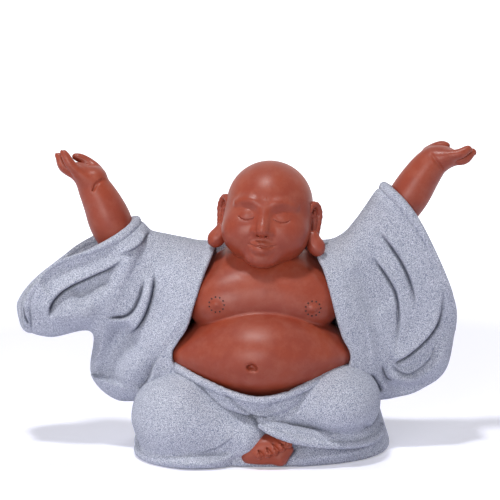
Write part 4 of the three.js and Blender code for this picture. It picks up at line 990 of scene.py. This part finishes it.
# The foot, toes forward
footLook = {
    "toes": [((-4.6, -44.4, 9.4), (-1.6, -47.6, 6.9), 1.8), ((-0.6, -44.6, 10.8), (2.4, -48, 7.9), 1.9),
             ((3, -44.7, 12), (5.8, -48, 9), 1.9), ((6.2, -44.6, 13), (9, -47.6, 10.6), 1.9),
             ((7.8, -44, 13.4), (12, -46.4, 12.2), 2.2)],
    "nail": (0.95, 0.5, 1.0), "step": 0.3,
}
sole = blend(3, egg((1.4, -41.4, 9.2), (11, 6.9, 6.6), (0, -14, 0)),
             limb((-6.6, -43.4, 5.2), (8.6, -44.4, 4.6), 3, 2.8),
             limb((8.6, -44.4, 4.6), (12.4, -44.2, 9), 2.8, 2.4))
toes, toeNails = [], []
for start, end, r in footLook["toes"]:
    toes.append(roll([start, [(a + b) / 2 for a, b in zip(start, end)], end], [r, r * 1.03, r], 0.6, 6))
    nailPlace = np.array(end) + (-0.1, -r * 0.8, r * 0.25)
    toeNails.append(nearby(egg(nailPlace, footLook["nail"], (-20, 35, 0)), end, 4))
footForm = blend(0.5, sole, blend(0.1, *toes))
gaps = [limb(np.add(a[0], b[0]) / 2 + (0, -2.1, 0), np.add(a[1], b[1]) / 2 + (0, -1.6, 0), 0.3, 0.7)
        for a, b in zip(footLook["toes"], footLook["toes"][1:])]
footForm = carved(0.4, footForm, *gaps)
rims = carved(0.1, lambda points: blend(0.1, *toeNails)(points) - 0.22, blend(0.1, *toeNails))
footForm = blend(0.8, carved(0.15, footForm, rims), above(0), mix=softMax)
surface = meshField(footForm, (-13, -52, -0.6), (17, -31, 19), footLook["step"])
makePiece("foot_skin", surface, ["foot"], redClay)
print("foot made")


# Base disc: the frame's own solid in plain clay
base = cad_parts["base_plate"]
base.data.materials.clear()
base.data.materials.append(bodyClay)


# Floor, light and camera
floorLook = {"half": 6.0, "colour": (0.8, 0.8, 0.92, 1), "lift": 0.26, "farLift": 0.8, "fadeFrom": 0.3,
             "fadeTo": 0.7}


def makeFloor(look):
    shade = Graph(bpy.data.materials.new("studio_floor"))
    lit = shade.node("ShaderNodeBsdfDiffuse", {}, {"Color": look["colour"]})
    away = shade.node("ShaderNodeVectorMath", {"operation": "LENGTH"}, {0: shade.coords}, "Value")
    far = shade.node("ShaderNodeMapRange", {}, {"Value": away, "From Min": look["fadeFrom"],
                                                "From Max": look["fadeTo"]})
    glow = shade.seen() * (look["lift"] + far * look["farLift"])
    lift = shade.node("ShaderNodeEmission", {}, {"Color": (1, 1, 1, 1), "Strength": glow})
    both = shade.node("ShaderNodeAddShader", {}, (lit, lift))
    shade.node("ShaderNodeOutputMaterial", {}, {"Surface": both})
    h = look["half"]
    mesh = bpy.data.meshes.new("floor")
    mesh.from_pydata([(-h, -h, 0), (h, -h, 0), (h, h, 0), (-h, h, 0)], [], [(0, 1, 2, 3)])
    mesh.materials.append(shade.owner)
    floor = placed("floor", mesh)


def aimed(thing, place, target):
    thing.location = place
    way = [t - p for t, p in zip(target, place)]
    level = math.hypot(way[0], way[1])
    thing.rotation_euler = (math.atan2(level, -way[2]), 0, math.atan2(-way[0], way[1]))


def softLamp(name, place, size, power, shine=True):
    data = bpy.data.lights.new(name, "AREA")
    data.shape, data.size, data.energy = "DISK", size, power
    lamp = placed(name, data)
    lamp.visible_glossy = shine
    aimed(lamp, place, (0, 0, 0.08))


makeFloor(floorLook)
for name, lamp in lamps.items():
    softLamp(name, **lamp)
world = bpy.data.worlds.new("white_studio")
bpy.context.scene.world = world
sky = Graph(world)
light = {"Color": (*worldLight["colour"], 1), "Strength": worldLight["strength"]}
unseen, white = (sky.node("ShaderNodeBackground", {}, values) for values in (light, {"Color": (1, 1, 1, 1)}))
mixed = sky.node("ShaderNodeMixShader", {}, (sky.seen(), unseen, white))
sky.node("ShaderNodeOutputWorld", {}, {"Surface": mixed})

eye = bpy.data.cameras.new("view")
eye.lens, eye.sensor_width = camera["lens"], 36
eye.clip_start, eye.clip_end = 0.05, 20
tilt = math.radians(camera["elevation"])
target = [t * mm for t in camera["target"]]
reach = camera["distance"] * mm
viewer = placed("view", eye)
aimed(viewer, (target[0], target[1] - reach * math.cos(tilt), target[2] + reach * math.sin(tilt)), target)
bpy.context.scene.camera = viewer
bpy.context.scene.view_settings.view_transform = "Standard"

print("ready")
